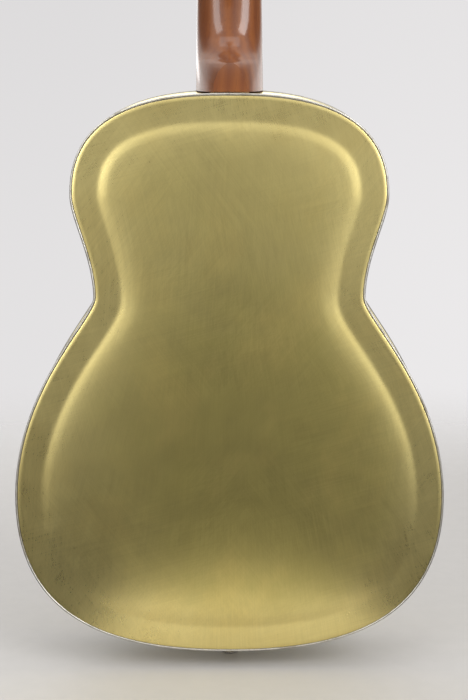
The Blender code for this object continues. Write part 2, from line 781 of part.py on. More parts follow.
def heel_rings():
    """The heel's sections, sheared so that its end lies flat against the body."""
    for z, back, cap in HEEL:
        fade = max(0.0, 1 - z / HEEL_FADE)
        ring = neck_section(z, board_half_width(z), BOARD_THICK + GAP, back, cap)
        yield [(x, y, height + y * math.tan(NECK_ANGLE) * fade) for x, y, height in ring]


def make_neck(frame):
    """Heel, neck and headstock in one piece, with its rod channel and the posts' holes."""
    rings = list(heel_rings())
    for z, back in NECK_BACK:
        rings.append(neck_section(z, board_half_width(z), BOARD_THICK + GAP, back))
    for z, half_width, back, roundness in HEAD:
        ring = neck_section(z, half_width, 0, back, roundness=roundness)
        rings.append([HEAD_PLACE @ Vector(point) for point in ring])
    neck = add_loft("neck", rings, mahogany, frame)
    room = ROD_RADIUS + GAP
    start, end = ROD_START - room, ROD_END + room
    channel = add_box("rod_channel", (-room, 0, start), (room, ROD_DEPTH + room, end), None, frame)
    low = (-POCKET_HALF, -POCKET_HALF, ROD_END - GAP)
    high = (POCKET_HALF, ROD_DEPTH + POCKET_HALF - 2 * GAP, ROD_END + POCKET_LENGTH)
    pocket = add_box("rod_pocket", low, high, None, frame)
    holes = []
    for k, (x, z) in enumerate(post_places()):
        start, end = [HEAD_PLACE @ Vector((x, y, z)) for y in (-HEAD_THICK, 2 * HEAD_THICK)]
        holes.append(add_rod(f"post_hole_{k + 1}", start, end, POST_RADIUS + 2 * GAP, None, frame, sides=10))
    cut(neck, channel, pocket, *holes)


def make_fingerboard(frame):
    """The board and its frets: a side view with a bump for each fret, spread out to the board's taper."""
    low, high = -BOARD_OVERHANG, JOINT_TO_NUT
    half, crown = FRET_WIDTH / 2, FRET_WIDTH / 4
    outline = [(BOARD_THICK, low), (0, low)]
    for fret in range(FRETS, 0, -1):
        z = JOINT_TO_NUT - fret_distance(fret)
        outline += [(0, z - half), (-FRET_HEIGHT, z - crown), (-FRET_HEIGHT, z + crown), (0, z + half)]
    outline += [(0, high), (BOARD_THICK, high)]
    rings = [[(side * board_half_width(z), y, z) for y, z in outline] for side in (-1, 1)]
    add_loft("fingerboard", rings, ebony, frame)


def make_nut(frame):
    low, high = JOINT_TO_NUT + GAP, JOINT_TO_NUT + NUT_THICK
    face = -FRET_HEIGHT - NUT_ACTION + GAP
    drop, short = NUT_SLOPE
    outline = [(BOARD_THICK, low), (face, low), (face + drop, high - short), (BOARD_THICK, high)]
    rings = [[(side * NUT_WIDTH / 2, y, z) for y, z in outline] for side in (-1, 1)]
    add_loft("nut", rings, bone, frame)


def make_truss_rod(frame):
    start, end = (0, ROD_DEPTH, ROD_START), (0, ROD_DEPTH, ROD_END)
    add_rod("truss_rod", start, end, ROD_RADIUS, steel, frame, sides=10)
    axis = add_frame("truss_rod_axis", (0, ROD_DEPTH, ROD_END + GAP), (0, 0, 0), frame)
    add_rod("truss_rod_nut", (0, 0, 0), (0, 0, ROD_NUT_LENGTH), ROD_NUT_RADIUS, brass, axis, sides=6)


def make_truss_rod_cover(frame):
    """A small plate on the headstock's face, with a domed top, over the rod's nut."""
    loop = list(COVER_PLATE) + [(-x, z) for x, z in reversed(COVER_PLATE[:-1])]
    rings = [[(x, y, z) for x, z in loop] for y in (-GAP - COVER_PLATE_THICK, -GAP)]
    add_loft("truss_rod_cover", rings, ebony, frame)


def make_neck_stick():
    """The square stick that carries on from the neck through the body to the tail, and its two blocks."""
    half_x, front, back = STICK
    stick = add_box("neck_stick", (-half_x, front, STICK_START), (half_x, back, BODY_LENGTH - GAP), maple)
    bore = add_rod("pin_bore", (0, 0, 0), (0, 0, PIN_REACH + PIN_RADIUS), PIN_RADIUS + GAP, None, sides=10)
    cut(stick, bore)
    for name, z in (("stick_block_upper", BLOCK_Z[1]), ("stick_block_lower", BLOCK_Z[0])):
        add_rod(name, (0, back + GAP, z), (0, BLOCK_REACH, z), BLOCK_RADIUS, maple, sides=20)


# ---------------------------------------------------------------- tailpiece and strings


def string_x(number, spread):
    """Sideways place of a string, 1 at the treble side (+X) to 6 at the bass side."""
    return spread * (0.5 - (number - 1) / (len(STRING_DIAMETERS) - 1))


def string_height_at_saddle():
    """How far in front of the body's mid depth the strings bear on the saddle."""
    return -(NECK_PLACE @ Vector((0, -FRET_HEIGHT - SADDLE_ACTION, MIDDLE_Z - BODY_LENGTH))).y


def make_tailpiece():
    """A stamped strap: held by the end pin, bent over the edge, flaring to a lip the strings pass through."""
    edge = [[(side * half, -height, z) for side in (-1, 1)] for height, z, half in TAILPIECE]
    strap = add_strip("tailpiece", edge, nickel, TAILPIECE_THICK)
    start, end = (0, 0, -CUT_MORE), (0, 0, CUT_MORE)
    tools = [add_rod("strap_hole", start, end, PIN_RADIUS + 2 * GAP, None, sides=10)]
    for k, diameter in enumerate(STRING_DIAMETERS):
        x = string_x(k + 1, SADDLE_SPREAD)
        start, end = [(x, -ANCHOR[0], ANCHOR[1] + way * CUT_MORE / 2) for way in (-1, 1)]
        tools.append(add_rod(f"ball_hole_{k + 1}", start, end, diameter / 2 + 2 * GAP, None, sides=8))
    window = list(STRAP_WINDOW) + [(-x, z) for x, z in reversed(STRAP_WINDOW[1:])]
    rings = [[(x, y, z) for x, z in window] for y in (-2 * HALF_DEPTH, -HALF_DEPTH)]
    tools.append(add_loft("strap_window", rings, None))
    cut(strap, *tools)


def make_end_pin():
    """The strap button: a shank through the tailpiece and the tail into the stick, and a waisted head."""
    collar = PIN_HEAD[0][1]
    shank = [(0, PIN_REACH), (PIN_RADIUS, PIN_REACH), (PIN_RADIUS, collar)]
    profile = shank + PIN_HEAD + [(0, -PIN_STANDS)]
    add_turned("end_pin", profile, nickel, None, steps=16)


def post_places():
    """(x, z) in the headstock's frame of the post for each string, 1 to 6.

    The outer strings go to the posts nearest the nut.
    """
    treble = [(POST_X, z) for z in POST_Z]
    bass = [(-POST_X, z) for z in reversed(POST_Z)]
    return treble + bass


def make_strings():
    """Each string from the tailpiece over the saddle and the nut to the side of its post."""
    for k, diameter in enumerate(STRING_DIAMETERS):
        number, radius = k + 1, diameter / 2
        saddle_x, nut_x = string_x(number, SADDLE_SPREAD), string_x(number, NUT_SPREAD)
        post_x, post_z = post_places()[k]
        side = math.copysign(1, post_x)
        bearing = -FRET_HEIGHT - NUT_ACTION - radius
        wound = WINDING_INNER + diameter
        clear = math.sqrt(wound**2 - (POST_RADIUS + radius) ** 2) + WINDING_GAP
        touch = HEAD_PLACE @ Vector((post_x - side * (POST_RADIUS + radius), -WRAP_HEIGHT, post_z - clear))
        in_neck = [
            (saddle_x, -FRET_HEIGHT - SADDLE_ACTION - radius, MIDDLE_Z - BODY_LENGTH),
            (nut_x, bearing, JOINT_TO_NUT + NUT_THICK / 5),
            (nut_x, bearing + NUT_SLOPE[0] / 2, JOINT_TO_NUT + NUT_THICK / 2),
            touch,
        ]
        anchor = (saddle_x, -ANCHOR[0], ANCHOR[1] - BALL_LENGTH)
        points = [anchor] + [NECK_PLACE @ Vector(point) for point in in_neck]
        add_tube(f"string_{number}", points, radius, string_metal)


def make_winding(number, diameter, axis):
    """The turns of string on a post, as one ring."""
    half = max(WINDING_TURNS * diameter / 2, WINDING_LEAST_HALF)
    outer = WINDING_INNER + diameter
    profile = [
        (outer, WRAP_HEIGHT + half),
        (outer, WRAP_HEIGHT - half),
        (WINDING_INNER, WRAP_HEIGHT - half),
        (WINDING_INNER, WRAP_HEIGHT + half),
    ]
    add_turned(f"string_winding_{number}", profile, string_metal, axis, steps=10)


# ---------------------------------------------------------------- tuners
# A post's frame has +Z pointing forwards out of the headstock and -Y towards its worm.
# A worm's frame has +Z pointing outwards to its button and +X towards its gear.


def make_post(number, axis):
    """A string post: a rounded head in front, a plain shaft through the headstock, a stub in the gear."""
    seat = -(TUNER_PLANE - GEAR_WIDTH / 2 - GAP)
    stub = -(TUNER_PLANE + GEAR_WIDTH / 2 + STUB_STANDS)
    profile = [
        (0, POST_STANDS),
        (POST_RADIUS - POST_ROUNDING, POST_STANDS),
        (POST_RADIUS, POST_STANDS - POST_ROUNDING),
        (POST_RADIUS, seat),
        (STUB_RADIUS, seat),
        (STUB_RADIUS, stub),
        (0, stub),
    ]
    post = add_turned(f"tuner_post_{number}", profile, nickel, axis, steps=10)
    height = (WRAP_HEIGHT + POST_STANDS) / 2
    start, end = (-3 * POST_RADIUS, 0, height), (3 * POST_RADIUS, 0, height)
    cut(post, add_rod(f"string_hole_{number}", start, end, STRING_HOLE_RADIUS, None, axis, sides=6))


def make_gear(number, axis):
    """A helical gear wheel with a gap between its teeth facing the worm."""
    lead = WORM_PITCH / (math.pi * (WORM_ROOT + WORM_CREST))
    twist = lead * GEAR_WIDTH / 2 / GEAR_PITCH_RADIUS
    rings = []
    for end in (-1, 1):
        ring = []
        for tooth in range(GEAR_TEETH):
            for share, radius in TOOTH:
                turn = (tooth + 0.5 + share) * math.tau / GEAR_TEETH - math.pi / 2 + end * twist
                height = end * GEAR_WIDTH / 2 - TUNER_PLANE
                ring.append((radius * math.cos(turn), radius * math.sin(turn), height))
        rings.append(ring)
    gear = add_loft(f"tuner_gear_{number}", rings, brass, axis)
    start, end = (0, 0, -TUNER_PLANE - GEAR_WIDTH), (0, 0, -TUNER_PLANE + GEAR_WIDTH)
    cut(gear, add_rod(f"gear_bore_{number}", start, end, STUB_RADIUS + GAP, None, axis, sides=8))


def thread_radius(phase):
    """Radius of the worm at a phase of its thread, where a whole number is a crest."""
    away = abs((phase + 0.5) % 1 - 0.5)
    share = min(1.0, max(0.0, (THREAD_FOOT - away) / (THREAD_FOOT - THREAD_TIP)))
    return WORM_ROOT + (WORM_CREST - WORM_ROOT) * share


def make_worm(number, axis):
    """The worm and its shaft in one piece: an inner stub, a right-hand thread and the button's shaft."""
    half = WORM_TURNS * WORM_PITCH / 2
    steps = WORM_TURNS * WORM_STEPS
    stations = [-SHAFT_INNER, -half - THREAD_RUN_OUT]
    stations += [-half + 2 * half * i / steps for i in range(steps + 1)]
    stations += [half + THREAD_RUN_OUT, SHAFT_OUTER]
    rings = []
    for height in stations:
        ring = []
        for j in range(WORM_SIDES):
            share = j / WORM_SIDES
            radius = WORM_ROOT
            if abs(height) < half:
                radius = thread_radius(height / WORM_PITCH - share)
            ring.append((radius * math.cos(math.tau * share), radius * math.sin(math.tau * share), height))
        rings.append(ring)
    add_loft(f"tuner_worm_{number}", rings, nickel, axis)


def make_button(number, axis):
    """An oval button on the end of the worm's shaft."""
    half_long, half_thin = BUTTON_SIZE
    rings = []
    for share, size in BUTTON_SHAPE:
        ring = []
        for j in range(BUTTON_SIDES):
            turn = math.tau * j / BUTTON_SIDES
            place = BUTTON_START + share * BUTTON_LENGTH
            ring.append((half_long * size * math.cos(turn), half_thin * size * math.sin(turn), place))
        rings.append(ring)
    button = add_loft(f"tuner_button_{number}", rings, bone, axis)
    start, end = (0, 0, BUTTON_START - WORM_ROOT), (0, 0, SHAFT_OUTER + GAP)
    cut(button, add_rod(f"button_bore_{number}", start, end, WORM_ROOT + GAP, None, axis, sides=10))


def make_tuner_plate(name, side, frame):
    """A strip that carries three tuners: holes for the posts and two ears for each worm's shaft."""
    near = HEAD_THICK + GAP
    far = near + TUNER_PLATE_THICK
    middle = side * POST_X
    plate = add_box(
        name,
        (middle - PLATE_HALF_WIDTH, near, POST_Z[0] - PLATE_END[0]),
        (middle + PLATE_HALF_WIDTH, far, POST_Z[-1] + PLATE_END[1]),
        nickel,
        frame,
    )
    for k, z in enumerate(POST_Z):
        shaft_z = z - WORM_DISTANCE
        for inner in (-1, 1):
            ear_x = middle + inner * EAR_X
            ear = add_box(
                f"{name}_ear_{k}_{inner}",
                (ear_x - EAR_THICK / 2, (near + far) / 2, shaft_z - EAR_HALF),
                (ear_x + EAR_THICK / 2, TUNER_PLANE + EAR_HALF, shaft_z + EAR_HALF),
                None,
                frame,
            )
            join(plate, ear)
        start, end = [(middle + way * 2 * EAR_X, TUNER_PLANE, shaft_z) for way in (-1, 1)]
        bearing = add_rod(f"{name}_bearing_{k}", start, end, WORM_ROOT + GAP, None, frame, sides=8)
        start, end = (middle, HEAD_THICK / 2, z), (middle, 2 * HEAD_THICK, z)
        hole = add_rod(f"{name}_hole_{k}", start, end, POST_RADIUS + 2 * GAP, None, frame, sides=8)
        cut(plate, bearing, hole)


# ---------------------------------------------------------------- assembly


def make_tuner(number, diameter, head_frame):
    """One string's tuner, on the axes that its post and its worm turn about."""
    x, z = post_places()[number - 1]
    post_axis = add_frame(f"post_axis_{number}", (x, 0, z), (math.pi / 2, 0, 0), head_frame)
    way = math.pi if x > 0 else 0
    worm_place = (x, TUNER_PLANE, z - WORM_DISTANCE)
    worm_axis = add_frame(f"worm_axis_{number}", worm_place, (0, -math.pi / 2, way), head_frame)
    make_winding(number, diameter, post_axis)
    make_post(number, post_axis)
    make_gear(number, post_axis)
    make_worm(number, worm_axis)
    make_button(number, worm_axis)


def build():
    clear_scene()
    cone_axis = add_frame("cone_axis", (0, 0, MIDDLE_Z), (math.pi / 2, 0, 0))
    neck_frame = add_frame("neck_frame", (0, BOARD_FACE_Y, BODY_LENGTH), (-NECK_ANGLE, 0, 0))
    head_frame = add_frame("head_frame", HEAD_START, (-HEAD_ANGLE, 0, 0), neck_frame)
    make_back_plate()
    make_top_plate()
    make_side_bands()
    make_cone_well(cone_axis)
    make_resonator_cone(cone_axis)
    make_biscuit(cone_axis)
    make_saddle(cone_axis)
    make_coverplate(cone_axis)
    make_hand_rest()
    make_neck(neck_frame)
    make_fingerboard(neck_frame)
    make_nut(neck_frame)
    make_truss_rod(neck_frame)
    make_truss_rod_cover(head_frame)
    make_neck_stick()
    make_tailpiece()
    make_end_pin()
    make_strings()
    make_tuner_plate("tuner_plate_bass", -1, head_frame)
    make_tuner_plate("tuner_plate_treble", 1, head_frame)
    for k, diameter in enumerate(STRING_DIAMETERS):
        make_tuner(k + 1, diameter, head_frame)


build()
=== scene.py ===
"""The looks of the resonator guitar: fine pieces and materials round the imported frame.

Metres, in the frame of the CAD part: +Z up the neck, -Y out of the strings' side, +X to the treble side.
"""

import math

import bmesh
import bpy
from mathutils import Matrix, Vector


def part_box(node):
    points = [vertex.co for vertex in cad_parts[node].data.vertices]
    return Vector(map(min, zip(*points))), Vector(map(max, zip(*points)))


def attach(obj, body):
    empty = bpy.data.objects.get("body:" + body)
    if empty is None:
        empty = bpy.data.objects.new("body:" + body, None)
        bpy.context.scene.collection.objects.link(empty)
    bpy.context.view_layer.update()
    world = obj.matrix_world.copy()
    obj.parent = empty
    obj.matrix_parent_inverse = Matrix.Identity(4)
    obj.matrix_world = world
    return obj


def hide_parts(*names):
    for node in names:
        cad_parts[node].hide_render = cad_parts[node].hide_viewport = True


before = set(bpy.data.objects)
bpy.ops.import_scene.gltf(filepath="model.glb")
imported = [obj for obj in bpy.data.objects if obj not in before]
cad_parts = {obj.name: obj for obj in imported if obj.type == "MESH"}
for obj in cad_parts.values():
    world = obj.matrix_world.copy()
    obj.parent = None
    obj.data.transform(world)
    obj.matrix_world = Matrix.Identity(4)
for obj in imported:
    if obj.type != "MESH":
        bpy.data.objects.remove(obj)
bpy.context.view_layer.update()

MM = 0.001
QUARTER = math.pi / 2


def at(x, y, z):
    return Matrix.Translation((x, y, z))


def turned(angle, axis):
    return Matrix.Rotation(angle, 4, axis)


def in_mm(*rows):
    """Rows of millimetres in metres."""
    return [tuple(value * MM for value in row) for row in rows]


def mirrored(half):
    """Points followed by their mirror images in reverse, across the line where the first coordinate is 0."""
    return half + [(-a, b) for a, b in reversed(half)]



# ---------------------------------------------------------------- sizes
# Body: where its outline is widest and narrowest, as (half width, height).
SIDE_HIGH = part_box("side_band_treble")[1]
BODY_LENGTH = SIDE_HIGH.z
HALF_DEPTH = SIDE_HIGH.y
LOWER_BOUT = (SIDE_HIGH.x, 134 * MM)
WAIST = (112 * MM, 309 * MM)
UPPER_BOUT = (130 * MM, 393 * MM)
TAIL_FLAT, LOWER_DOWN, LOWER_UP = 77 * MM, 120 * MM, 96 * MM
WAIST_DOWN, WAIST_UP, UPPER_DOWN = 18 * MM, 34 * MM, 20 * MM
UPPER_UP, TOP_FLAT = 82 * MM, 36 * MM
OUTLINE_STEPS = 34

SHEET = 1 * MM
PIN_HOLE_RADIUS = 4.4 * MM
SIDE_INSET = 0.9 * MM
ROLL = 1.9 * MM
PLATE_INSET = 2.2 * MM
SIDE_FLANGE = 7 * MM
SOUND_HOLE = (79 * MM, 384 * MM)
BACK_BORDER = 21 * MM
BACK_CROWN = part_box("back_plate")[1].y - HALF_DEPTH
COVE_CORNER, COVE_RISE, COVE_FADE, CROWN_FADE = 1.0 * MM, 1.0 * MM, 7 * MM, 115 * MM
BACK_SPINE = (120 * MM, 395 * MM)

# Scale, board and nut, in the neck's frame: y = 0 on the board's face, z = 0 at the body joint.
SCALE, FRETS, JOINT_FRET = 635 * MM, 19, 14
JOINT_TO_NUT = SCALE * (1 - 2 ** (-JOINT_FRET / 12))
NUT_WIDTH, JOINT_WIDTH = 44.5 * MM, 57 * MM
BOARD_THICK, BOARD_OVERHANG = 6 * MM, 78 * MM
FRET_WIDTH, FRET_HEIGHT = 2.4 * MM, 1.1 * MM
NUT_THICK = 5 * MM
NUT_ACTION, SADDLE_ACTION = 0.4 * MM, 4.4 * MM
NECK_ANGLE, HEAD_ANGLE = math.radians(1.5), math.radians(13)
GAP = 0.3 * MM
BOARD_FACE_Y = -(HALF_DEPTH + GAP + BOARD_THICK)
HEAD_THICK = 14.5 * MM
NECK_PLACE = at(0, BOARD_FACE_Y, BODY_LENGTH) @ turned(-NECK_ANGLE, "X")
HEAD_START = at(0, 3.5 * MM, JOINT_TO_NUT + NUT_THICK + GAP)
HEAD_PLACE = NECK_PLACE @ HEAD_START @ turned(-HEAD_ANGLE, "X")

# Cone, coverplate and strings. Their frame has +Z forwards and its origin on the cone's axis.
MIDDLE_Z = BODY_LENGTH + JOINT_TO_NUT - SCALE
CONE_PLACE = at(0, 0, MIDDLE_Z) @ turned(QUARTER, "X")
COVER_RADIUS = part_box("coverplate")[1].x
CONE_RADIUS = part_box("resonator_cone")[1].x
CONE_TOP = -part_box("resonator_cone")[0].y
BISCUIT_FACE = -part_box("biscuit")[0].y
BISCUIT_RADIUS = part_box("biscuit")[1].x
STRING_DIAMETERS = [diameter * MM for diameter in (0.36, 0.44, 0.66, 0.91, 1.17, 1.42)]
NUMBERS = range(1, len(STRING_DIAMETERS) + 1)  # strings and tuners, from the treble side
NUT_SPREAD, SADDLE_SPREAD = 37 * MM, 54 * MM
ANCHOR = (50.8 * MM, 92 * MM)  # where the strings leave the tailpiece, forwards and up

# Tuners, in the headstock's frame.
POST_X, POST_Z = 22 * MM, (38 * MM, 74 * MM, 110 * MM)
POST_RADIUS, POST_STANDS, WRAP_HEIGHT = 3.1 * MM, 15 * MM, 6 * MM
POST_HOLE_RADIUS = POST_RADIUS + 0.6 * MM
WRAP_CLEAR = 0.15 * MM  # between a post and the string's turns on it
WORM_PITCH, GEAR_TEETH, GEAR_WIDTH = 2.4 * MM, 14, 3.2 * MM
WORM_ROOT, WORM_CREST = 1.9 * MM, 3.1 * MM
GEAR_PITCH_RADIUS = GEAR_TEETH * WORM_PITCH / math.tau
WORM_DISTANCE = GEAR_PITCH_RADIUS + (WORM_ROOT + WORM_CREST) / 2
PLATE_THICK = 1.2 * MM
TUNER_PLANE = HEAD_THICK + GAP + PLATE_THICK + 3.6 * MM
SHAFT_INNER, SHAFT_OUTER = 6.6 * MM, 24.5 * MM
BUTTON_START, BUTTON_LENGTH = 19.5 * MM, 17 * MM


# ---------------------------------------------------------------- shape helpers


WELD, POINT_WELD = 1e-6, 1e-7  # metres, for pieces that were cut and for new ones


def add_object(name, data, place=None):
    """A new object in the scene, at a place or at the origin."""
    made = bpy.data.objects.new(name, data)
    bpy.context.scene.collection.objects.link(made)
    if place:
        made.matrix_world = place
    return made


def weld(mesh, distance):
    """Joins points that lie together and turns all faces outwards."""
    work = bmesh.new()
    work.from_mesh(mesh)
    bmesh.ops.remove_doubles(work, verts=work.verts, dist=distance)
    bmesh.ops.recalc_face_normals(work, faces=work.faces)
    work.to_mesh(mesh)
    work.free()


def bake(obj):
    """Applies a piece's modifiers, or turns a curve into a mesh, with its loose ends welded."""
    bpy.context.view_layer.update()
    graph = bpy.context.evaluated_depsgraph_get()
    mesh = bpy.data.meshes.new_from_object(obj.evaluated_get(graph))
    name, place = obj.name, obj.matrix_world.copy()
    bpy.data.objects.remove(obj)
    weld(mesh, WELD)
    return add_object(name, mesh, place)


def smooth(obj, angle=32):
    """Shades a piece smoothly, but for edges sharper than an angle in degrees."""
    obj.data.shade_smooth()
    obj.data.set_sharp_from_angle(angle=math.radians(angle))
    return obj


def add_mesh(name, points, faces, place=None, angle=32):
    mesh = bpy.data.meshes.new(name)
    mesh.from_pydata([tuple(place @ Vector(p)) if place else tuple(p) for p in points], [], faces)
    weld(mesh, POINT_WELD)
    return smooth(add_object(name, mesh), angle)


def ring_faces(ring_count, count, looped=False):
    """The faces between neighbouring rings of equally many points."""
    faces = []
    for k in range(ring_count - (0 if looped else 1)):
        for j in range(count):
            a, b = k * count + j, k * count + (j + 1) % count
            step = (k + 1) % ring_count * count - k * count
            faces.append((a, b, b + step, a + step))
    return faces


def loft(name, rings, place=None, capped=True, looped=False, angle=32):
    """Joins closed rings of equally many points, one after the other."""
    count = len(rings[0])
    points = [point for ring in rings for point in ring]
    faces = ring_faces(len(rings), count, looped)
    if capped and not looped:
        faces.append(tuple(range(count)))
        faces.append(tuple(range(len(points) - count, len(points))))
    return add_mesh(name, points, faces, place, angle)


def lathe(name, profile, place, steps=96, looped=False, angle=32):
    """Turns (radius, height) points about the Z axis of a frame."""
    rings = []
    for radius, height in profile:
        turns = [math.tau * i / steps for i in range(steps)]
        rings.append([(radius * math.cos(t), radius * math.sin(t), height) for t in turns])
    return loft(name, rings, place, capped=False, looped=looped, angle=angle)


CORNER_SHARE = 0.45  # the most of a straight piece that one rounded corner may take up


def round_corner(before, here, after, radius, steps):
    """Points along a curve that rounds one corner of a path."""
    before, here, after = Vector(before), Vector(here), Vector(after)
    start = here + (before - here).normalized() * min(radius, (before - here).length * CORNER_SHARE)
    end = here + (after - here).normalized() * min(radius, (after - here).length * CORNER_SHARE)
    shares = [k / steps for k in range(steps + 1)]
    return [tuple(start * (1 - t) ** 2 + here * 2 * t * (1 - t) + end * t * t) for t in shares]


def fillet(points, radius, closed=False, steps=4):
    """Rounds the corners of a path, each by up to the radius."""
    if closed:
        corners = zip(points[-1:] + points[:-1], points, points[1:] + points[:1])
    else:
        corners = zip(points, points[1:], points[2:])
    made = [place for corner in corners for place in round_corner(*corner, radius, steps)]
    return made if closed else [tuple(points[0]), *made, tuple(points[-1])]


def across_path(path):
    """For each point of a flat path, the unit vector square to it, on its left."""
    last = len(path) - 1
    made = []
    for i in range(len(path)):
        ahead, behind = path[min(i + 1, last)], path[max(i - 1, 0)]
        dx, dy = ahead[0] - behind[0], ahead[1] - behind[1]
        length = math.hypot(dx, dy)
        made.append((-dy / length, dx / length))
    return made


def round_box(half_x, half_y, radius, steps=3):
    """A rectangle's outline with round corners."""
    corners = [(half_x, half_y), (-half_x, half_y), (-half_x, -half_y), (half_x, -half_y)]
    return fillet(corners, radius, closed=True, steps=steps)


def add_line(curve, points, closed):
    """Adds a path of straight pieces to a curve."""
    spline = curve.splines.new("POLY")
    spline.points.add(len(points) - 1)
    for point, place in zip(spline.points, points):
        point.co = (*place, 1)
    spline.use_cyclic_u = closed


def flat_sheet(name, loops, low, high, place, edge):
    """A flat sheet in a frame's XY plane between two heights, with slightly rounded edges."""
    curve = bpy.data.curves.new(name, "CURVE")
    curve.dimensions = "2D"
    curve.fill_mode = "BOTH"
    curve.bevel_depth = edge
    curve.bevel_resolution = 1
    curve.offset = -edge
    curve.extrude = (high - low) / 2 - edge
    for loop in loops:
        add_line(curve, [(x, y, 0) for x, y in loop], closed=True)
    made = bake(add_object(name, curve))
    made.data.transform(place @ at(0, 0, (low + high) / 2))
    return smooth(made, 25)


def tube(name, points, radius):
    """A round wire along points."""
    curve = bpy.data.curves.new(name, "CURVE")
    curve.dimensions = "3D"
    curve.bevel_depth = radius
    curve.bevel_resolution = 3
    curve.use_fill_caps = True
    add_line(curve, points, closed=False)
    return smooth(bake(add_object(name, curve)), 50)


def combine(obj, tools, operation="DIFFERENCE", angle=32):
    """Cuts tools out of a piece, or joins them to it, and removes them."""
    for tool in tools:
        step = obj.modifiers.new("combine", "BOOLEAN")
        step.operation = operation
        step.solver = "EXACT"
        step.object = tool
    made = bake(obj)
    for tool in tools:
        bpy.data.objects.remove(tool)
    return smooth(made, angle)


def gather(name, objects):
    """Puts several pieces into one object, as separate solids."""
    work = bmesh.new()
    for obj in objects:
        work.from_mesh(obj.data)
        bpy.data.objects.remove(obj)
    mesh = bpy.data.meshes.new(name)
    work.to_mesh(mesh)
    work.free()
    return smooth(add_object(name, mesh), 40)


def prism(name, loop, low, high, place):
    """A plain solid from a flat loop, for cutting."""
    return loft(name, [[(x, y, z) for x, y in loop] for z in (low, high)], place)


def smooth_table(stations, z):
    """Reads a table of (z, value, value ...) at z along a smooth curve that doesn't overshoot."""
    last = len(stations) - 1
    i = max(0, min(last - 1, sum(1 for row in stations if row[0] <= z) - 1))
    low, high = stations[i], stations[i + 1]
    span = high[0] - low[0]
    t = min(1.0, max(0.0, (z - low[0]) / span))

    def tangent(k, column):
        if k in (0, last):
            a, b = (0, 1) if k == 0 else (last - 1, last)
            return (stations[b][column] - stations[a][column]) / (stations[b][0] - stations[a][0])
        before = (stations[k][column] - stations[k - 1][column]) / (stations[k][0] - stations[k - 1][0])
        after = (stations[k + 1][column] - stations[k][column]) / (stations[k + 1][0] - stations[k][0])
        if before * after <= 0:
            return 0.0
        return 2 * before * after / (before + after)

    values = []
    for column in range(1, len(low)):
        m0, m1 = tangent(i, column) * span, tangent(i + 1, column) * span
        a, b = low[column], high[column]
        square, cube = 3 * (b - a) - 2 * m0 - m1, 2 * (a - b) + m0 + m1
        values.append(a + square * t * t + cube * t**3 + m0 * t)
    return values




# ---------------------------------------------------------------- outlines


def bezier(p0, p1, p2, p3, steps):
    """Points along a cubic curve, without its last one."""
    made = []
    for i in range(steps):
        t = i / steps
        a, b, c, d = (1 - t) ** 3, 3 * t * (1 - t) ** 2, 3 * t * t * (1 - t), t**3
        made.append(tuple(a * p0[k] + b * p1[k] + c * p2[k] + d * p3[k] for k in (0, 1)))
    return made


def half_outline():
    """The body's edge at +X, as (x, z), from the middle of the tail end up to the neck end."""
    (lx, lz), (wx, wz), (ux, uz) = LOWER_BOUT, WAIST, UPPER_BOUT
    return [
        *bezier((0, 0), (TAIL_FLAT, 0), (lx, lz - LOWER_DOWN), (lx, lz), OUTLINE_STEPS),
        *bezier((lx, lz), (lx, lz + LOWER_UP), (wx, wz - WAIST_DOWN), (wx, wz), OUTLINE_STEPS),
        *bezier((wx, wz), (wx, wz + WAIST_UP), (ux, uz - UPPER_DOWN), (ux, uz), OUTLINE_STEPS),
        *bezier((ux, uz), (ux, uz + UPPER_UP), (TOP_FLAT, BODY_LENGTH), (0, BODY_LENGTH), OUTLINE_STEPS),
        (0, BODY_LENGTH),
    ]


BODY_EDGE = half_outline()


def inset_half(distance):
    """The half outline moved inwards by a distance, square to itself."""
    pairs = zip(BODY_EDGE, across_path(BODY_EDGE))
    moved = [(x + dx * distance, z + dz * distance) for (x, z), (dx, dz) in pairs]
    return [(0, BODY_EDGE[0][1] + distance), *moved[1:-1], (0, BODY_EDGE[-1][1] - distance)]


def whole_loop(half):
    return half + [(-x, z) for x, z in reversed(half[1:-1])]


def circle(x, z, radius, steps=96):
    turns = [math.tau * i / steps for i in range(steps)]
    return [(x + radius * math.cos(t), z + radius * math.sin(t)) for t in turns]


# Outlines in the body's XZ plane are (x, z). This frame has +Y up the guitar and +Z forwards.
FRONT_PLACE = turned(QUARTER, "X")


# ---------------------------------------------------------------- body shell


def cove_height(distance):
    """Height of the back over its flat border: steepest right inside the border's line, then a long fade."""
    past = COVE_CORNER * math.log1p(math.exp((distance - PLATE_INSET - BACK_BORDER) / COVE_CORNER))
    cove = COVE_RISE * (1 - math.exp(-past / COVE_FADE))
    return cove + (BACK_CROWN - COVE_RISE) * (1 - math.exp(-past / CROWN_FADE))


def edge_distance(x, z):
    """How far a point of the back is from the body's edge, with the fold along the middle softened."""
    near, gathered = 1.0, 0.0
    for k in range(len(BODY_EDGE) - 1):
        (ax, az), (bx, bz) = BODY_EDGE[k], BODY_EDGE[k + 1]
        length = math.hypot(bx - ax, bz - az)
        for side in (-1, 1):
            away = math.hypot(x - side * (ax + bx) / 2, z - (az + bz) / 2)
            near = min(near, away)
            gathered += length / away**4
    soft = (2 / math.pi * gathered) ** (-1 / 3)
    blend = min(1.0, max(0.0, (near - BACK_BORDER) / BACK_BORDER))
    return near + (soft - near) * blend


# Rows of the back, in millimetres inwards from the plate's edge: over the flat border, then through the cove.
BORDER_ROWS = (0.05, 0.4, 3, 8, 13, 16, 17.5)
COVE_ROWS = (*[18.5 + 0.7 * k for k in range(14)], 29)
SPINE_ROWS = 24
PLATE_EDGE, PLATE_ROUND = 0.35 * MM, 0.12 * MM  # depth of the plate's edge, and of the row that rounds it


